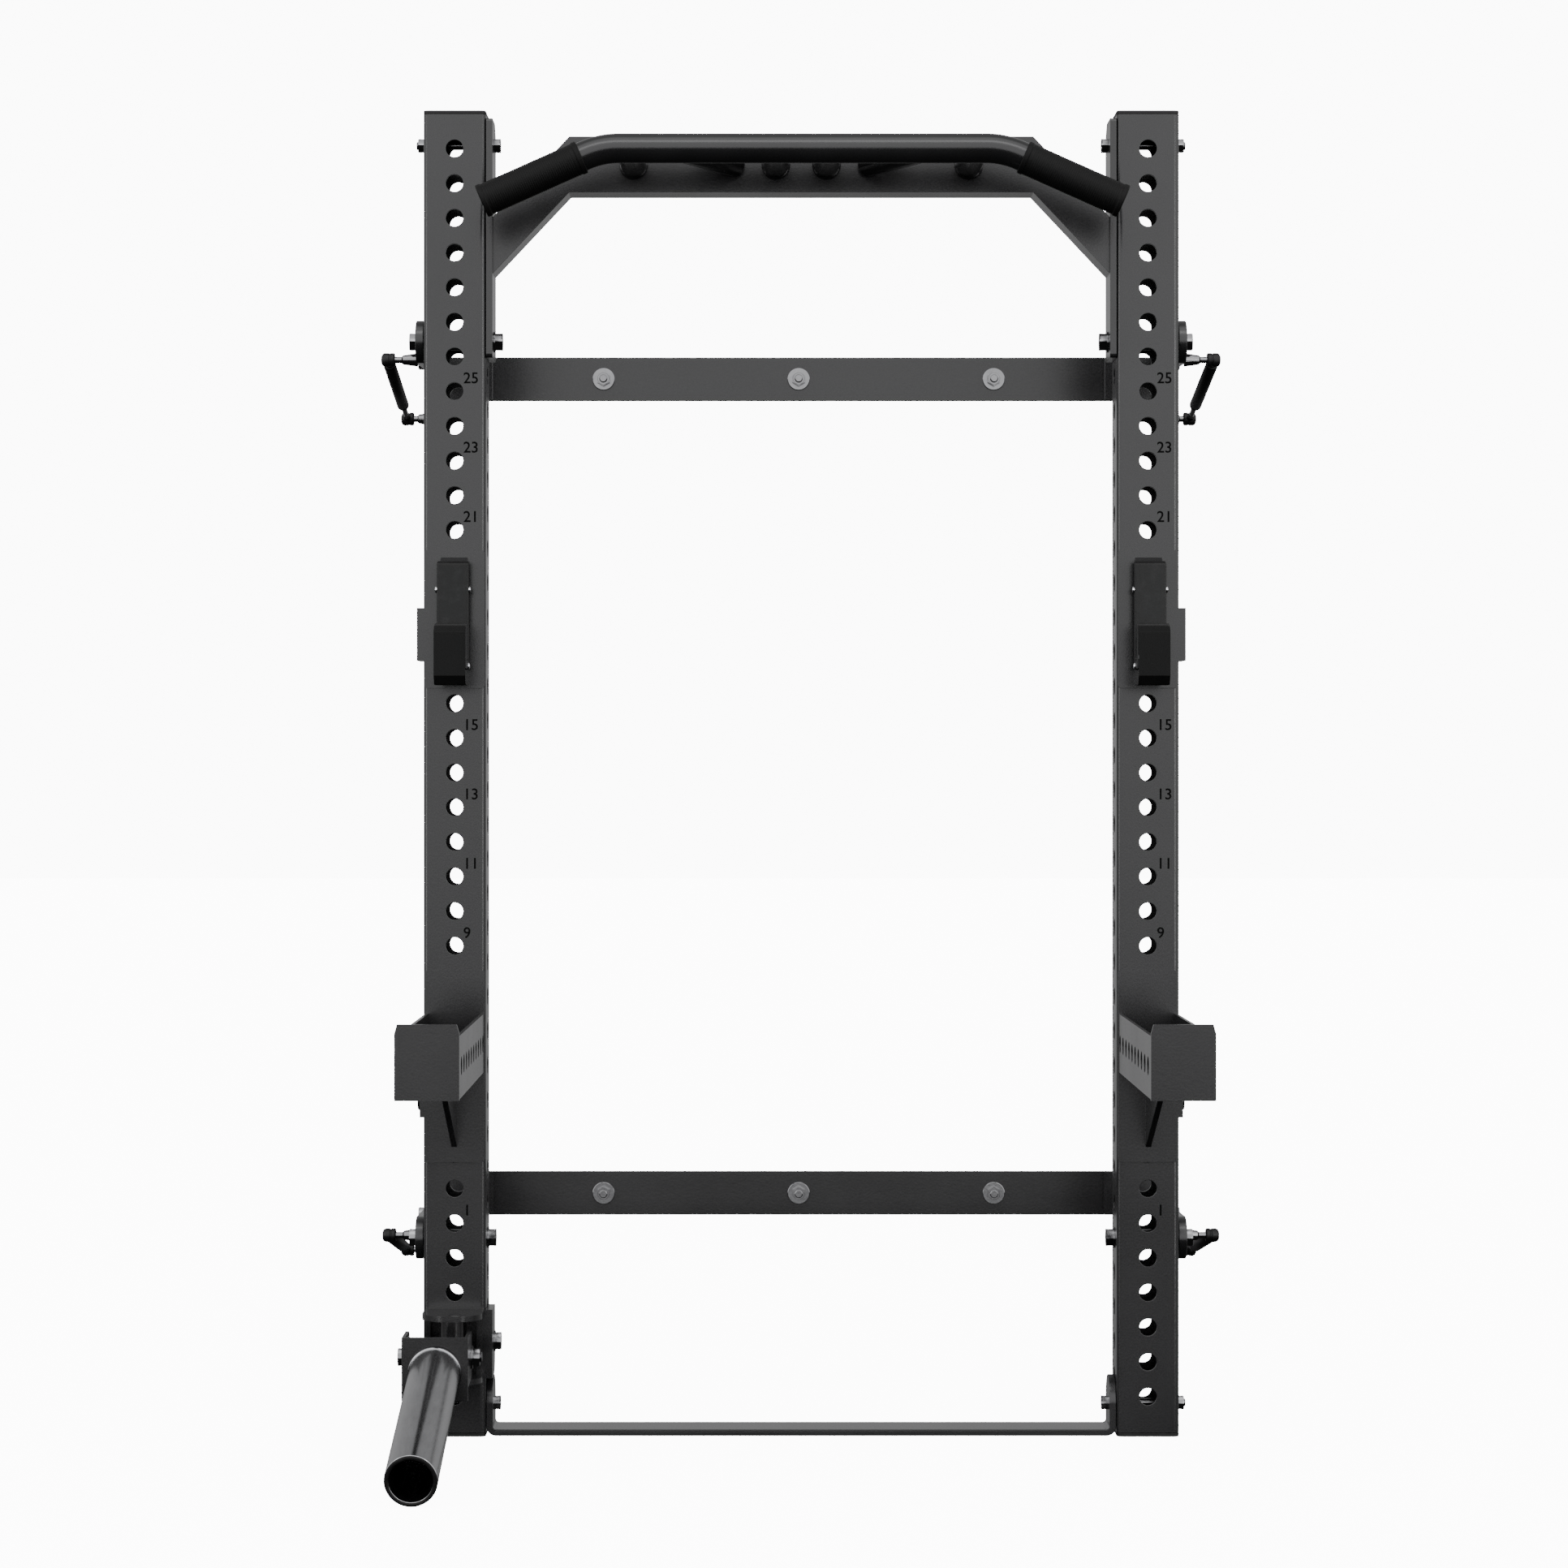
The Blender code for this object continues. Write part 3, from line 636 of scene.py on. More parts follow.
left_path = bar_path(-1)
right_path = bar_path(1)
adds = [swept(left_path[::-1] + right_path, BAR_R, 44)]
beads = []
HANDLES = ((0.242, 0.242, 0.0185), (0.0365, 0.0365, 0.0185), (0.093, 0.181, 0.0170))
for side in SIDES.values():
    for at_web, at_bar, radius in HANDLES:
        start = Vector((side * at_web, WEB_FRONT - GAP, BAR_Z))
        end = Vector((side * at_bar, BAR_Y, BAR_Z))
        lean = 0.0087 if at_web != at_bar else 0.0
        adds.append(turned(start, end - start, [(lean, radius), ((end - start).length, radius)], 36))
        if at_web == at_bar:
            beads.append(weld(start + Vector((0, -0.0042, 0)), (0, 1, 0), radius))
piece("bent_grip_bar", adds, POWDER, "frame", stands_for=["pull_up_bar"])
piece("handle_welds", beads, POWDER, "frame", merge=False)
print("bar and handles,", len(beads), "weld beads")

# %% [markdown]
# The grips are rubber sleeves between two collars. Fine rings moulded into the sleeve stop a hand
# from sliding down the bent end.

# %% Bar grips
for hand, side in SIDES.items():
    path = left_path if side < 0 else right_path
    low_end = Vector(path[-1])
    along = (Vector(path[-2]) - low_end).normalized()
    start = low_end - along * 0.002
    bore = BAR_R + 0.0004
    profile = [(0.0012, bore), (0.0, bore + 0.0008), (0.0, 0.0226)]
    profile += [(0.0014, 0.0239), (0.0066, 0.0239), (0.0080, 0.0228)]
    for i in range(44):
        t = 0.011 + i * 0.003
        profile += [(t, 0.0225), (t + 0.0008, 0.0229), (t + 0.0022, 0.0229)]
    profile += [(0.1460, 0.0228), (0.1474, 0.0239), (0.1526, 0.0239), (0.1540, 0.0226), (0.1540, bore)]
    piece(hand + "_ribbed_grip", [turned(start, along, profile, 48, True)], RUBBER, "frame",
          stands_for=[hand + "_bar_grip"])
print("two grips")

# %% [markdown]
# The floor strap is flat bar bent up at both ends. A bend in thick bar has a generous radius outside
# and a tight one inside, so the corners are arcs. The legs end in a rounded tab.

# %% Floor strap
legs = INNER - GAP
thick = 0.0095
outline = [(-legs, 0.084)] + arc((-legs + 0.014, 0.014), 0.014, 180, 270, 8)
outline += arc((legs - 0.014, 0.014), 0.014, 270, 360, 8) + [(legs, 0.084), (legs - thick, 0.084)]
outline += arc((legs - 0.0145, thick + 0.005), 0.005, 0, -90, 6)
outline += arc((-legs + 0.0145, thick + 0.005), 0.005, 270, 180, 6) + [(-legs + thick, 0.084)]
cuts = [rod("X", (0.0, 0.0431), 0.0068, -COLUMN, COLUMN)]
for way in (-1, 1):
    round_top = [(way * 0.0380, 0.0465)]
    round_top += [(way * u, v) for u, v in arc((0.0, 0.0465), 0.0375, 0, 90, 16)]
    round_top += [(0.0, 0.090), (way * 0.045, 0.090), (way * 0.045, 0.0465)]
    cuts.append(prism(round_top[1:], "X", -COLUMN, COLUMN))
piece("bent_floor_strap", [prism(outline, "Y", -0.0375, 0.0375)], POWDER, "frame", cuts=cuts, edge=0.0010,
      stands_for=["floor_strap"])
print("floor strap ready")

# %% [markdown]
# A bolt is a hexagon with its corners chamfered, a plain shank, and a thread where it shows. The
# chamfer is a cone: no corner reaches further out than the cone does at that place.

# %% Bolts
def hexagon(side, near, far, centre, radius):
    """A hexagon along X. Its corners are turned off at both ends."""
    start = Vector((side * near, centre[0], centre[1]))
    length = far - near
    verts = []
    steps = 24
    for distance, cone in ((0.0, radius * 0.90), (length - 0.0016, radius), (length, radius * 0.90)):
        for i in range(steps):
            angle = 2 * math.pi * i / steps
            flat = radius * math.cos(math.pi / 6) / math.cos((angle % (math.pi / 3)) - math.pi / 6)
            reach = min(flat, cone)
            verts.append(start + Vector((side * distance, reach * math.cos(angle), reach * math.sin(angle))))
    faces = [list(range(steps)), list(range(2 * steps, 3 * steps))]
    for row in range(2):
        for i in range(steps):
            step = (i + 1) % steps
            low = row * steps
            faces.append([low + i, low + step, low + steps + step, low + steps + i])
    return verts, faces


for hand, side in SIDES.items():
    for name, height in (("cross_member", 1.8675), ("strap", 0.0431)):
        centre = (0.0, height)
        head = hexagon(side, FLANGE_IN - GAP, FLANGE_IN - 0.0080, centre, 0.0110)
        nut = hexagon(side, OUTER + 0.0018, OUTER + 0.0105, centre, 0.0108)
        washer = bar_x(side, OUTER + GAP, OUTER + 0.0019, centre, 0.0125)
        shank = bar_x(side, FLANGE_IN - 0.0005, OUTER + 0.004, centre, 0.0060)
        tip = threads((side * (OUTER + 0.0095), 0.0, height), (side, 0, 0), 0.0034, 0.0061, 0.0012)
        piece(f"{hand}_{name}_hex_bolt", [head, shank, washer, nut, tip], ZINC, "frame",
              stands_for=[f"{hand}_{name}_bolt"], merge=False)
    for level, (pivot, beam) in LEVELS.items():
        centre = (0.0, pivot)
        nut_face = FLANGE_IN if level == "upper" else INNER
        head = hexagon(side, ARM_OUT + GAP, ARM_OUT + 0.0100, centre, 0.0138)
        nut = hexagon(side, nut_face - 0.0020, nut_face - 0.0110, centre, 0.0138)
        washer = bar_x(side, nut_face - 0.0021, nut_face - GAP, centre, 0.0150)
        shank = bar_x(side, nut_face - 0.003, ARM_OUT + 0.002, centre, 0.0080)
        sleeve = bar_x(side, INNER + 0.0004, OUTER + 0.0004, centre, 0.0118)
        tip = threads((side * (nut_face - 0.0100), 0.0, pivot), (-side, 0, 0), 0.0030, 0.0078, 0.0015)
        piece(f"{level}_{hand}_front_bolt", [head, shank, sleeve, washer, nut, tip], ZINC, "frame",
              stands_for=[f"{level}_{hand}_front_pivot_bolt"], merge=False)
        centre = (ARM_LENGTH, pivot)
        head = hexagon(side, PLATE_OUT + GAP, PLATE_OUT + 0.0100, centre, 0.0138)
        shank = bar_x(side, ARM_IN + 0.001, PLATE_OUT + 0.002, centre, 0.0080)
        piece(f"{level}_{hand}_wall_side_bolt", [head, shank], ZINC, "wall_mount",
              stands_for=[f"{level}_{hand}_wall_pivot_bolt"], merge=False)
print("frame and pivot bolts")

# %% [markdown]
# Two flat beams carry the rack on the wall. Each is held by three bolts 300 mm apart, with a washer
# and a nut left proud so that the fixing can be tightened again.

# %% Wall beams
for level, (pivot, beam) in LEVELS.items():
    plate = box((-OUTER - 0.030, BEAM_FRONT, beam - 0.0335), (OUTER + 0.030, WALL_Y, beam + 0.0335))
    spots = {"left": -6 * PITCH, "middle": 0.0, "right": 6 * PITCH}
    holes = [rod("Y", (x, beam), 0.0072, BEAM_FRONT - 0.01, WALL_Y + 0.01) for x in spots.values()]
    piece(level + "_flat_beam", [plate], POWDER, "wall_mount", cuts=holes, edge=0.0012,
          stands_for=[level + "_wall_beam"])
    for spot, x in spots.items():
        face = BEAM_FRONT - GAP
        along = (0, -1, 0)
        washer = turned((x, face, beam), along,
                        [(0.0, 0.0164), (0.0006, 0.0170), (0.0020, 0.0170), (0.0026, 0.0162)], 44)
        nut = prism(arc((x, beam), 0.0108, 30, 390, 6)[:-1], "Y", face - 0.0130, face - 0.0024)
        dome = turned((x, face - 0.0126, beam), along, [(0.0, 0.0093), (0.0010, 0.0086)], 36)
        tip = threads((x, face - 0.0130, beam), along, 0.0058, 0.0062, 0.0014)
        shank = rod("Y", (x, beam), 0.0062, face - 0.004, WALL_Y - GAP)
        piece(f"{level}_{spot}_stud", [washer, nut, dome, tip, shank], ZINC, "wall_mount",
              stands_for=[f"{level}_{spot}_wall_bolt"], merge=False)
print("wall beams and studs")

# %% [markdown]
# Each wall bracket is a cheek plate on a foot, welded to the beam. The arm turns on a bolt through
# the cheek, and the lower corner of the cheek carries the far ball of the gas strut.

# %% Wall brackets
BALLS = {"upper": ((0.010, -0.025), (0.057, -0.083)), "lower": ((0.030, 0.0), (0.057, -0.058))}


def balls(level, pivot):
    """The ball centres of a strut as (Y, height): the near one on the arm, the far one on the cheek."""
    near, far = BALLS[level]
    return (near[0], pivot + near[1]), (ARM_LENGTH + far[0], pivot + far[1])


def stud_shapes(side, plate_face, centre, length):
    """A ball stud: a cone for its seat, a hexagon collar and a plain neck."""
    out = (side, 0, 0)
    start = (side * (plate_face - 0.001), centre[0], centre[1])
    rows = [(0.0, 0.0098), (0.0025, 0.0095), (length * 0.55, 0.0068), (length * 0.6, 0.0050)]
    cone = turned(start, out, rows, 32)
    neck = turned(start, out, [(length * 0.4, 0.0046), (length + 0.006, 0.0048)], 24)
    return [cone, neck]


for level, (pivot, beam) in LEVELS.items():
    for hand, side in SIDES.items():
        far = balls(level, pivot)[1]
        back = BEAM_FRONT - GAP
        outline = arc((ARM_LENGTH, pivot), 0.0260, 115, 245, 10)
        outline += [(ARM_LENGTH + 0.012, pivot - 0.030), (far[0] - 0.022, far[1] - 0.016)]
        outline += [(back, far[1] - 0.016), (back, pivot + 0.034)]
        low, high = span(side, PLATE_IN, PLATE_OUT)
        corners = rounded(outline[10:] + outline[:1], 0.008, 5)[6:-6]
        cheek = prism(outline[:11] + corners, "X", low, high)
        foot_low, foot_high = span(side, COLUMN - 0.030, PLATE_OUT - 0.002)
        foot = box((foot_low, back - 0.006, beam - 0.0330), (foot_high, back, beam + 0.0330))
        bore = bar_x(side, PLATE_IN - 0.02, PLATE_OUT + 0.02, (ARM_LENGTH, pivot), 0.0086)
        piece(f"{level}_{hand}_cheek_bracket", [cheek, foot], POWDER, "wall_mount", cuts=[bore],
              edge=0.0012, stands_for=[f"{level}_{hand}_wall_bracket"])
        piece(f"{level}_{hand}_far_ball_stud", stud_shapes(side, PLATE_OUT, far, BALL_X - PLATE_OUT), ZINC,
              "wall_mount", merge=False)
        fillet = prism([(PLATE_IN + 0.0002, back - 0.0062), (PLATE_IN - 0.005, back - 0.0062),
                        (PLATE_IN + 0.0002, back - 0.0112)], "Z", beam - 0.028, beam + 0.028)
        verts = [(side * v[0], v[1], v[2]) for v in fillet[0]]
        piece(f"{level}_{hand}_cheek_weld", [(verts, fillet[1])], POWDER, "wall_mount", edge=0.0012)
print("wall brackets")

# %% [markdown]
# The four arms are thick plate with round ends, waisted between the pivots. Equal arms keep the
# lifting frame upright as it swings. Each carries the near ball of its strut.

# %% Arms
for level, (pivot, beam) in LEVELS.items():
    for hand, side in SIDES.items():
        near = balls(level, pivot)[0]
        lean = 1.3
        outline = arc((0.0, pivot), 0.0308, 90 + lean, 270 - lean, 28)
        outline += arc((ARM_LENGTH, pivot), 0.0238, -90 - lean, 90 + lean, 24)
        low, high = span(side, ARM_IN, ARM_OUT)
        cuts = [bar_x(side, ARM_IN - 0.02, ARM_OUT + 0.02, (0.0, pivot), 0.0086)]
        cuts.append(bar_x(side, ARM_IN - 0.02, ARM_OUT + 0.02, (ARM_LENGTH, pivot), 0.0086))
        piece(f"{level}_{hand}_link_arm", [prism(outline, "X", low, high)], POWDER, f"{level}_{hand}_arm",
              cuts=cuts, edge=0.0012, stands_for=[f"{level}_{hand}_arm"])
        piece(f"{level}_{hand}_near_ball_stud", stud_shapes(side, ARM_OUT, near, BALL_X - ARM_OUT), ZINC,
              f"{level}_{hand}_arm", merge=False)
print("four arms")

# %% [markdown]
# A gas strut is a painted cylinder with a rolled end, a polished rod, and a ball socket at each end
# held by a wire clip. The sockets turn on their studs and the rod slides in the cylinder.

# %% Gas struts
def ball_socket(side, centre):
    """A forged socket: a short drum with a domed face and a groove for its clip."""
    out = Vector((side, 0, 0))
    start = Vector((side * (BALL_X - 0.0065), centre[0], centre[1]))
    rows = [(0.0, 0.0056), (0.0, 0.0088), (0.0014, 0.0100), (0.0060, 0.0100)]
    rows += [(0.0066, 0.0093), (0.0082, 0.0093), (0.0088, 0.0100), (0.0150, 0.0100)]
    rows += [(0.0180, 0.0084), (0.0196, 0.0052), (0.0200, 0.0006), (0.0140, 0.0056)]
    return turned(start, out, rows, 36, True)


for level, (pivot, beam) in LEVELS.items():
    for hand, side in SIDES.items():
        near, far = balls(level, pivot)
        start = Vector((side * (BALL_X + 0.0035), near[0], near[1]))
        end = Vector((side * (BALL_X + 0.0035), far[0], far[1]))
        along = (end - start).normalized()
        corner = f"{level}_{hand}"
        rows = [(0.0085, 0.0048), (0.0200, 0.0048), (0.0210, 0.0060), (0.0235, 0.0060)]
        neck = turned(start, along, rows, 28)
        mouth = (end - start).length - 0.088
        rows = [(0.0230, 0.0050), (0.0236, 0.0078), (0.0262, 0.0090), (mouth - 0.0090, 0.0090)]
        rows += [(mouth - 0.0075, 0.0086), (mouth - 0.0060, 0.0086), (mouth - 0.0045, 0.0090)]
        rows += [(mouth - 0.0008, 0.0089), (mouth, 0.0084), (mouth - 0.0004, 0.0081)]
        rows += [(mouth - 0.097, 0.0081)]
        body = turned(start, along, rows, 40)
        piece(corner + "_gas_cylinder", [ball_socket(side, near), neck, body], PLASTIC,
              corner + "_cylinder", stands_for=[corner + "_strut_cylinder"], finish="strut_paint",
              merge=False)
        neck = turned(end, -along, [(0.0085, 0.0052), (0.0185, 0.0052), (0.0200, 0.0044)], 28)
        piece(corner + "_far_socket", [ball_socket(side, far), neck], PLASTIC, corner + "_rod",
              finish="strut_paint", merge=False)
        shaft = turned(end, -along, [(0.0180, 0.0040), (0.1640, 0.0040), (0.1650, 0.0034)], 28)
        piece(corner + "_polished_rod", [shaft], CHROME, corner + "_rod",
              stands_for=[corner + "_strut_rod"])
print("four gas struts")

# %% [markdown]
# A bar hook is a plate with a welded hook, hung on a pin in one of the upright's holes. A thick
# plastic pad lines the saddle and is held by small screws from both sides.

# %% Bar hooks
HOOK_HOLE = FIRST_HOLE + 24 * PITCH
BACK = FRONT - GAP
for hand, side in SIDES.items():
    x = side * COLUMN
    body = hand + "_hook"
    square = rounded_plate(x, HALF - 0.0015, 1.0795, 1.2784, 0.0045)
    plate = prism(square, "Y", BACK - 0.005, BACK)
    rise = [(BACK - 0.004, 1.0846), (BACK - 0.004, 1.2680), (BACK - 0.026, 1.2600), (BACK - 0.026, 1.1050)]
    rise += [(FRONT - 0.0880, 1.1050), (FRONT - 0.0880, 1.1600), (FRONT - 0.0930, 1.1640)]
    rise += [(FRONT - 0.1030, 1.1580), (FRONT - 0.1030, 1.0960), (FRONT - 0.0930, 1.0846)]
    shape = prism(rise, "X", x - 0.0190, x + 0.0190)
    low, high = span(side, OUTER + 0.0008, OUTER + 0.0090)
    tab = [(BACK - 0.0050, 1.1190), (0.020, 1.1190), (0.020, 1.1950), (BACK - 0.0050, 1.1950)]
    tab = prism(rounded(tab, 0.004), "X", low, high)
    low, high = span(side, COLUMN + 0.040, OUTER + 0.0090)
    bridge = box((low, BACK - 0.0050, 1.1190), (high, BACK, 1.1950))
    piece(hand + "_steel_hook", [plate, shape, tab, bridge], POWDER, body, edge=0.0010,
          stands_for=[hand + "_hook"])
    pin = turned((x, BACK - 0.003, HOOK_HOLE), (0, 1, 0),
                 [(0.0, 0.0110), (0.0220, 0.0110), (0.0262, 0.0088)], 36)
    piece(hand + "_hook_peg", [pin], ZINC, body)
    pad = [(BACK - 0.0263, 1.1053), (BACK - 0.0263, 1.2620), (FRONT - 0.0390, 1.2580)]
    pad += [(FRONT - 0.0400, 1.1200), (FRONT - 0.0740, 1.1160), (FRONT - 0.0800, 1.1700)]
    pad += [(FRONT - 0.0877, 1.1700), (FRONT - 0.0877, 1.1053)]
    piece(hand + "_wear_pad", [prism(pad, "X", x - 0.0230, x + 0.0230)], PLASTIC, body, edge=0.0022,
          stands_for=[hand + "_hook_pad"])
    cover = [(FRONT - 0.1052, 1.1575), (FRONT - 0.1052, 1.0955), (FRONT - 0.0945, 1.0825)]
    cover += [(FRONT - 0.0600, 1.0825), (FRONT - 0.0600, 1.0843), (FRONT - 0.0934, 1.0843)]
    cover += [(FRONT - 0.1033, 1.0959), (FRONT - 0.1033, 1.1583)]
    cover += [(FRONT - 0.0934, 1.1643), (FRONT - 0.0945, 1.1665)]
    piece(hand + "_lip_cover", [prism(cover, "X", x - 0.0225, x + 0.0225)], RUBBER, body, edge=0.0007,
          finish="black_plastic", flat=True)
    screws = []
    for way in (-1, 1):
        for y, z in ((FRONT - 0.033, 1.2200), (FRONT - 0.095, 1.1220), (FRONT - 0.055, 1.1100)):
            reach = 0.0228 if y > FRONT - 0.085 else 0.0188
            rows = [(0.0, 0.0048), (0.0012, 0.0050), (0.0026, 0.0040), (0.0032, 0.0020)]
            screws.append(turned((x + way * reach, y, z), (way, 0, 0), rows, 24))
    piece(hand + "_hook_screws", screws, CHROME, body, merge=False)
print("two bar hooks")

# %% [markdown]
# A spotter arm is a deep tray on a back plate, with a taller end plate to stop the bar, a gusset
# below, and holes along both sides. A plastic liner lies in the tray.

# %% Spotter arms
TRAY_LOW, TRAY_HIGH = 0.5260, 0.6102
TRAY_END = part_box("left_spotter_arm")[0][1] - MIDDLE_Y + 0.005
PLUG = FIRST_HOLE + 8.5 * PITCH
for hand, side in SIDES.items():
    x = side * COLUMN
    square = rounded_plate(x, HALF - 0.0015, 0.3965, 0.6722, 0.0035)
    adds = [prism(square, "Y", BACK - 0.005, BACK)]
    adds.append(box((x - 0.0425, TRAY_END + 0.001, TRAY_LOW), (x + 0.0425, BACK - 0.002, TRAY_LOW + 0.005)))
    for edge in (-1, 1):
        wall = sorted((x + edge * 0.0375, x + edge * 0.0425))
        adds.append(box((wall[0], TRAY_END + 0.001, TRAY_LOW + 0.001), (wall[1], BACK - 0.002, TRAY_HIGH)))
    end = [(x - 0.0430, TRAY_LOW - 0.001), (x + 0.0430, TRAY_LOW - 0.001), (x + 0.0430, 0.6140)]
    end += [(x + 0.0395, 0.6260), (x - 0.0395, 0.6260), (x - 0.0430, 0.6140)]
    adds.append(prism(end, "Y", TRAY_END - 0.005, TRAY_END + 0.002))
    rib = [(BACK - 0.003, 0.4177), (BACK - 0.003, TRAY_LOW + 0.002), (BACK - 0.260, TRAY_LOW + 0.002)]
    adds.append(prism(rib, "X", x - 0.0040, x + 0.0040))
    low, high = span(side, OUTER + 0.0008, OUTER + 0.0050)
    adds.append(box((low, BACK - 0.0050, PLUG - 0.022), (high, 0.020, PLUG + 0.022)))
    low, high = span(side, COLUMN + 0.040, OUTER + 0.0050)
    adds.append(box((low, BACK - 0.0050, PLUG - 0.022), (high, BACK, PLUG + 0.022)))
    cuts = [bar_x(side, OUTER - 0.01, OUTER + 0.02, (0.0, PLUG), 0.0114)]
    for hole in range(10):
        y = TRAY_END + 0.048 + hole * PITCH
        for edge in (-1, 1):
            wall = sorted((x + edge * 0.034, x + edge * 0.048))
            cuts.append(rod("X", (y, 0.568), HOLE_R, wall[0], wall[1]))
    piece(hand + "_catch_tray", adds, POWDER, "frame", cuts=cuts, edge=0.0009,
          stands_for=[hand + "_spotter_arm"])
    pegs = []
    for hole in (7, 12):
        z = FIRST_HOLE + hole * PITCH
        rows = [(0.0, 0.0110), (0.0180, 0.0110), (0.0222, 0.0088)]
        pegs.append(turned((x, BACK - 0.002, z), (0, 1, 0), rows, 36))
    piece(hand + "_tray_pegs", pegs, ZINC, "frame", merge=False)
    floor_low, floor_top = TRAY_LOW + 0.0053, TRAY_LOW + 0.0130
    outline = [(x - 0.0372, floor_low), (x + 0.0372, floor_low), (x + 0.0372, 0.5500), (x + 0.0312, 0.5500)]
    outline += [(x + 0.0312, floor_top), (x - 0.0312, floor_top), (x - 0.0312, 0.5500), (x - 0.0372, 0.5500)]
    piece(hand + "_tray_liner", [prism(outline, "Y", TRAY_END + 0.0026, BACK - 0.0056)], PLASTIC, "frame",
          edge=0.0012, stands_for=[hand + "_spotter_liner"])
    rows = [(0.0, 0.0090), (0.0020, 0.0106), (0.0258, 0.0106), (0.0258, 0.0140), (0.0268, 0.0150)]
    rows += [(0.0290, 0.0150), (0.0310, 0.0138), (0.0312, 0.0080), (0.0305, 0.0070)]
    piece(hand + "_pull_pin", [turned((side * (OUTER - 0.0200), 0.0, PLUG), (side, 0, 0), rows, 40)], ZINC,
          hand + "_spotter_pin", stands_for=[hand + "_spotter_pin"])
print("two spotter arms")

# %% [markdown]
# The landmine holds one end of a bar near the floor. A bracket with two shelves clamps the upright
# and carries a vertical pin. A swivel turns on the pin, and a yoke with a wide tube tilts on the
# swivel. Thin ribs stand between the shelves.

# %% Landmine
x = -COLUMN
SWIVEL_Y = FRONT - 0.045
TILT_Y, TILT_Z = FRONT - 0.115, 0.1307
clamp = HALF + GAP
adds = [box((x - 0.0435, BACK - 0.006, 0.0850), (x + 0.0545, BACK, 0.1840))]
ear = [(BACK - 0.006, 0.1840), (BACK - 0.006, 0.0850)] + arc((-0.008, 0.1100), 0.0250, 270, 360, 12)
ear += [(0.017, 0.1840)]
adds.append(prism(ear, "X", x + clamp, x + HALF + 0.0100))
shelf = [(x - 0.0430, BACK - 0.004), (x + 0.0430, BACK - 0.004)]
shelf += [(u, 2 * SWIVEL_Y - v) for u, v in arc((x, SWIVEL_Y), 0.043, 0, 180, 28)]
for low in (0.0850, 0.1760):
    adds.append(prism(shelf, "Z", low, low + 0.008))
for way in (-1, 1):
    low, high = sorted((x + way * 0.0390, x + way * 0.0330))
    adds.append(box((low, BACK - 0.020, 0.0900), (high, BACK - 0.004, 0.1780)))
    low, high = sorted((x + way * 0.0210, x + way * 0.0185))
    adds.append(box((low, BACK - 0.021, 0.0900), (high, BACK - 0.004, 0.1780)))
adds.append(turned((x, SWIVEL_Y, 0.0900), (0, 0, 1), [(0.0, 0.0095), (0.0900, 0.0095)], 32))
piece("landmine_clamp", adds, POWDER, "frame", edge=0.0012, stands_for=["landmine_bracket"])
side_z = FIRST_HOLE + 1.5 * PITCH
head = hexagon(1, x + HALF + 0.0115, x + HALF + 0.0200, (0.0, side_z), 0.0138)
washer = rod("X", (0.0, side_z), 0.0150, x + HALF + 0.0102, x + HALF + 0.0117)
peg = rod("X", (0.0, side_z), 0.0100, x + HALF - 0.012, x + HALF + 0.011)
piece("landmine_clamp_bolt", [head, washer, peg], ZINC, "frame", merge=False)
rows = [(0.0, 0.0100), (0.0, 0.0150), (0.0015, 0.0165), (0.0809, 0.0165), (0.0824, 0.0150), (0.0824, 0.0100)]
sleeve = turned((x, SWIVEL_Y, 0.0933), (0, 0, 1), rows, 40, True)
neck = box((x - 0.0150, TILT_Y + 0.004, 0.1180), (x + 0.0150, SWIVEL_Y - 0.0145, 0.1430))
rows = [(0.0, 0.0084), (0.0, 0.0128), (0.0014, 0.0140), (0.0806, 0.0140), (0.0820, 0.0128), (0.0820, 0.0084)]
hub = turned((x - 0.0560, TILT_Y, TILT_Z), (1, 0, 0), rows, 40, True)
piece("swivel_block", [sleeve, hub, neck], POWDER, "landmine_swivel", stands_for=["landmine_swivel"],
      merge=False)

# %% [markdown]
# The yoke is a U of plate with the tube welded on its front. The cross bolt has a washer and a nut
# on the inner side. The tube slopes down so that its mouth rests on the floor.

# %% Landmine yoke and tube
middle = x - 0.015
TUBE_R = 0.0355
SOCKET_LENGTH = 0.432
cheek = [(TILT_Y + 0.015, 0.1000), (TILT_Y + 0.015, 0.1600), (TILT_Y + 0.006, 0.1670)]
cheek += [(FRONT - 0.180, 0.1670), (FRONT - 0.180, 0.0960)]
adds = []
for edge in (-1, 1):
    wall = sorted((middle + edge * 0.0415, middle + edge * 0.0465))
    adds.append(prism(rounded(cheek, 0.005), "X", wall[0], wall[1]))
adds.append(box((middle - 0.0465, FRONT - 0.184, 0.0783), (middle + 0.0465, FRONT - 0.178, 0.1670)))
piece("tube_yoke", adds, POWDER, "landmine_tube", edge=0.0016, stands_for=["landmine_tube"])
centre = (TILT_Y, TILT_Z)
bolt = [rod("X", centre, 0.0080, middle - 0.047, middle + 0.050)]
bolt.append(hexagon(-1, -(middle - 0.0467), -(middle - 0.0570), centre, 0.0138))
bolt.append(rod("X", centre, 0.0168, middle + 0.0466, middle + 0.0490))
bolt.append(hexagon(1, middle + 0.0490, middle + 0.0590, centre, 0.0138))
bolt.append(threads((middle + 0.0585, TILT_Y, TILT_Z), (1, 0, 0), 0.0036, 0.0078, 0.0015))
piece("yoke_bolt", bolt, ZINC, "landmine_tube", merge=False)
slope = math.radians(11.2)
direction = Vector((0, -math.cos(slope), -math.sin(slope)))
tip_z = TUBE_R * math.cos(slope) + 0.0004
start = Vector((middle, FRONT - 0.181, tip_z + SOCKET_LENGTH * math.sin(slope)))
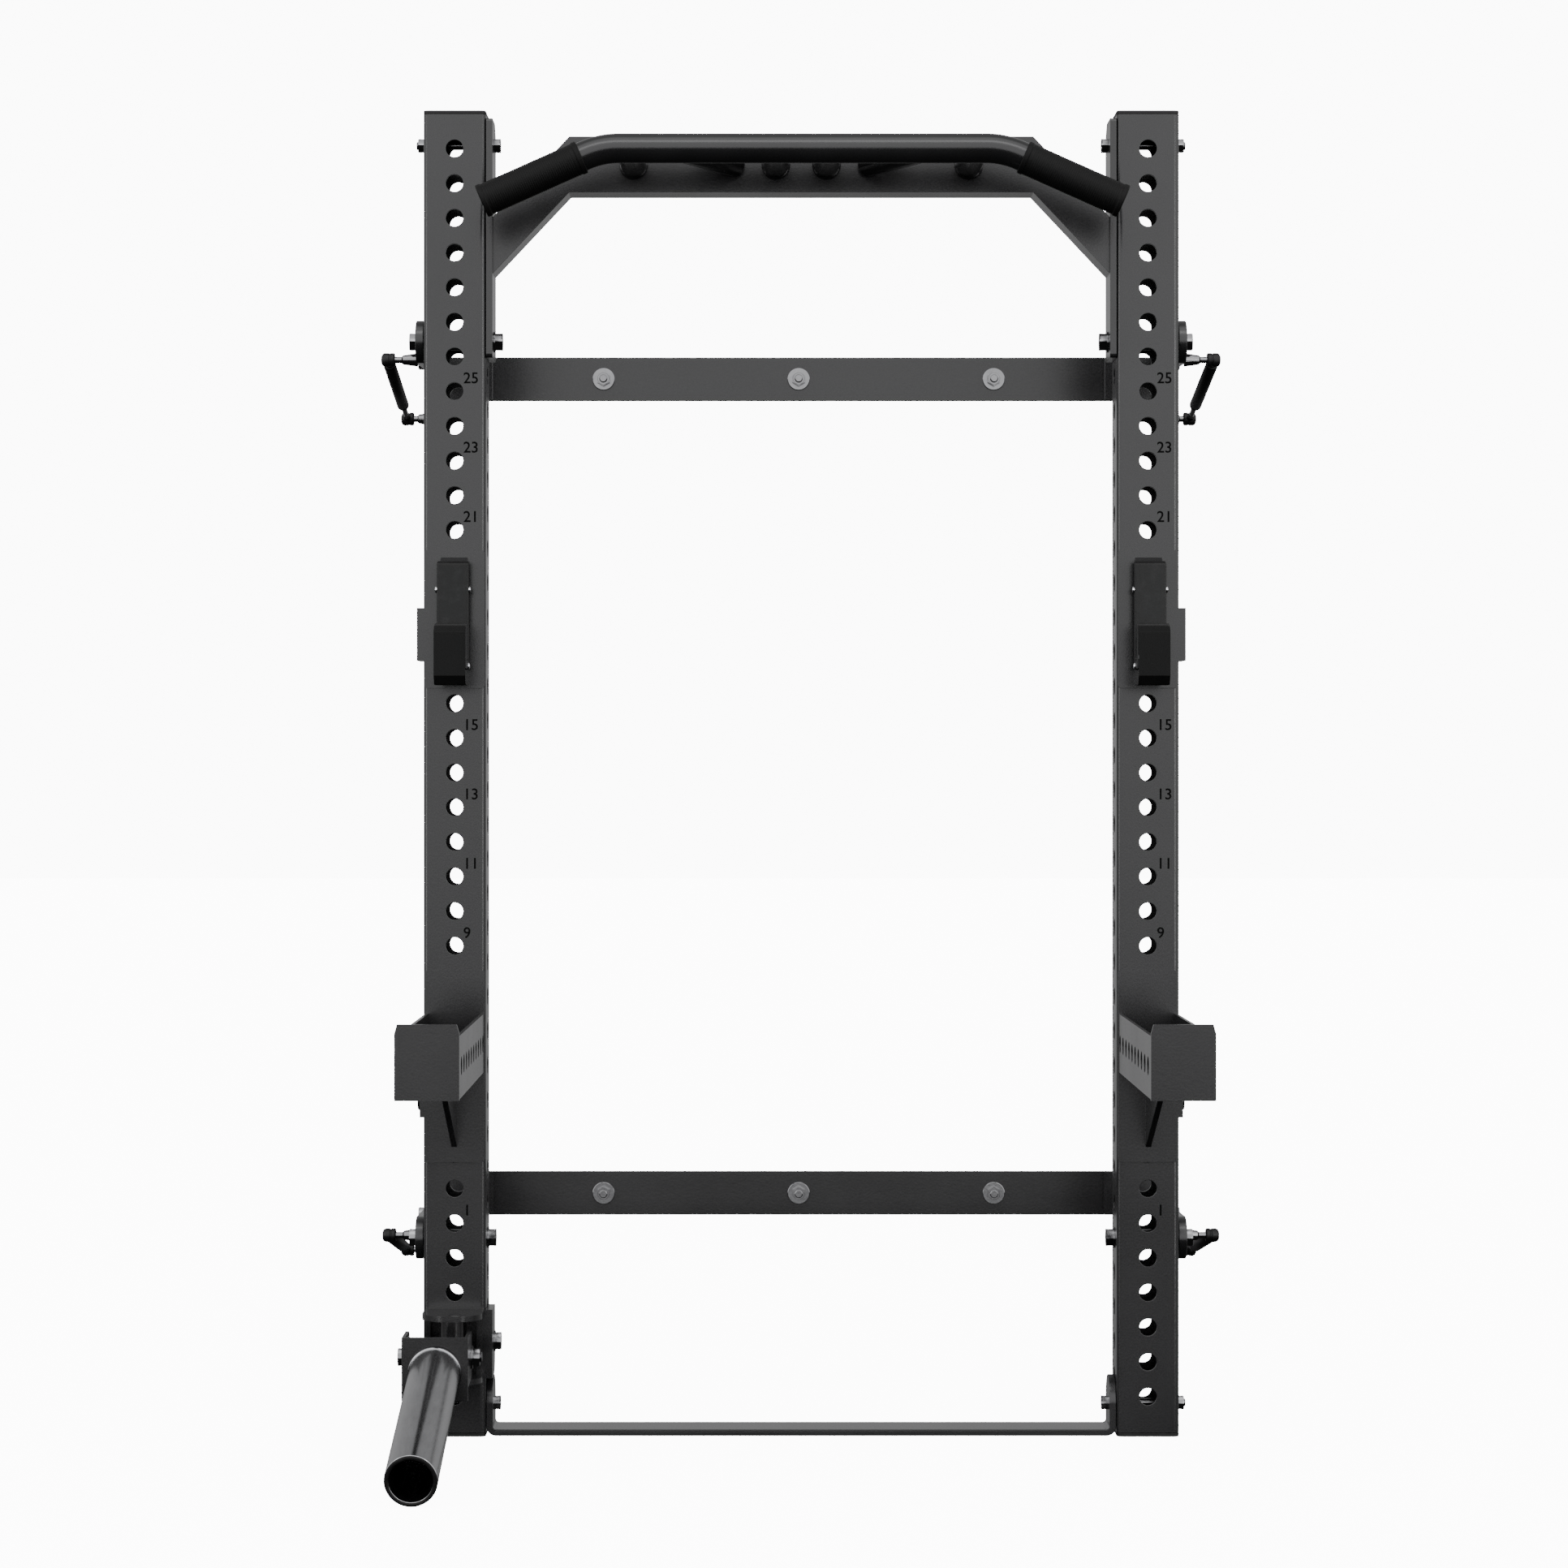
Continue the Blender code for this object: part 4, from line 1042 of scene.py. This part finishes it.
inside = TUBE_R - 0.006
rows = [(0.0, TUBE_R - 0.001), (0.0004, TUBE_R)]
rows += [(SOCKET_LENGTH - 0.0010, TUBE_R), (SOCKET_LENGTH, TUBE_R - 0.0010)]
rows += [(SOCKET_LENGTH, inside + 0.0010), (SOCKET_LENGTH - 0.0010, inside), (0.010, inside)]
piece("bar_socket_tube", [turned(start, direction, rows, 64)], BARE, "landmine_tube")
piece("tube_weld", [weld(start + direction * 0.0045, direction, TUBE_R, 0.0036)], BARE, "landmine_tube",
      merge=False)
rows = [(0.0003, inside), (0.0003, TUBE_R - 0.0004), (0.0012, TUBE_R - 0.0006), (0.0018, TUBE_R - 0.0020)]
rows += [(0.0018, inside + 0.0012), (0.0012, inside + 0.0002)]
piece("mouth_ring", [turned(start + direction * SOCKET_LENGTH, direction, rows, 64, True)], PLASTIC,
      "landmine_tube")
print("landmine ready")

# %% [markdown]
# The studio is white all round, but what the glossy paint mirrors isn't: low in front it is dark, and
# at eye level and above it is bright. Flat faces therefore fade into the dark towards the floor.

# %% Floor and light
WHITE = 11.0
bpy.ops.mesh.primitive_grid_add(x_subdivisions=2, y_subdivisions=2, size=60, location=(0, 0, FLOOR - 0.0006))
ground = bpy.context.object
ground.name = "studio_floor"


def paper(place):
    cloud = place.node("ShaderNodeTexNoise", None, Vector=place, Scale=0.6, Detail=2.0)
    return {
        "Base Color": cloud.blend((0.90, 0.90, 0.90), (0.94, 0.94, 0.94)),
        "Roughness": 0.85 + cloud * 0.1,
    }


PAPER = material("pale paper", paper, Emission_Color=(1, 1, 1, 1), Emission_Strength=WHITE)
ground.data.materials.append(PAPER)
ground.visible_glossy = False
ground.visible_diffuse = False

world = bpy.context.scene.world or bpy.data.worlds.new("studio")
bpy.context.scene.world = world
world.use_nodes = True
tree = world.node_tree
tree.nodes.clear()
flow = Flow(tree, None)
ray = flow.node("ShaderNodeTexCoord", output=0)
split = tree.nodes.new("ShaderNodeSeparateXYZ")
tree.links.new(ray.socket, split.inputs[0])
up = Flow(tree, split.outputs[2])
away = Flow(tree, split.outputs[1])
front = up.between(-0.11, -0.03)
back = up.between(-0.40, 0.10)
behind = away.between(-0.3, 0.2)
light_from = front * (1.0 - behind) + back * behind * 0.21
tint = light_from.blend((0.02, 0.02, 0.02), (2.2, 2.2, 2.22))
seen = flow.node("ShaderNodeLightPath", output=0)
colour = seen.blend(tint, (WHITE, WHITE, WHITE))
background = tree.nodes.new("ShaderNodeBackground")
output = tree.nodes.new("ShaderNodeOutputWorld")
tree.links.new(colour.socket, background.inputs[0])
background.inputs[1].default_value = 1.0
tree.links.new(background.outputs[0], output.inputs[0])


def lamp(name, place, aim, size, power):
    data = bpy.data.lights.new(name, "AREA")
    data.shape = "RECTANGLE"
    data.size, data.size_y = size
    data.energy = power
    made = bpy.data.objects.new(name, data)
    made.location = Vector(place) + OFFSET
    made.rotation_euler = (Vector(aim) - Vector(place)).to_track_quat("-Z", "Y").to_euler()
    bpy.context.scene.collection.objects.link(made)


lamp("key", (0.0, -2.4, 4.4), (0, 0, 1.0), (3.4, 0.9), 26)
lamp("back_left", (-2.2, 1.2, 2.6), (-0.5, 0, 1.0), (1.0, 2.0), 4)
lamp("back_right", (2.2, 1.2, 2.6), (0.5, 0, 1.0), (1.0, 2.0), 4)
lamp("strip_left", (-2.8, -2.2, 1.0), (-0.5, 0, 0.3), (0.3, 2.4), 15)
lamp("strip_right", (1.8, -2.4, 1.0), (-0.5, 0, 0.3), (0.3, 2.4), 15)
print("studio ready")

# %% [markdown]
# The camera looks straight along the rack from more than six metres away with a long lens, so the
# verticals stay parallel. A slight shift, not a tilt, frames the object.

# %% Camera
DISTANCE = 6.30
data = bpy.data.cameras.new("camera")
data.sensor_fit = "HORIZONTAL"
data.sensor_width = 36.0
data.lens = 100.32
data.shift_x = 0.0160
data.shift_y = -0.0135
data.clip_end = 100
camera = bpy.data.objects.new("camera", data)
camera.location = Vector((-0.0611, FRONT - DISTANCE, 0.9718)) + OFFSET
camera.rotation_euler = (math.pi / 2, 0, 0)
bpy.context.scene.collection.objects.link(camera)
bpy.context.scene.camera = camera
print("camera", round(DISTANCE, 2), "m in front")
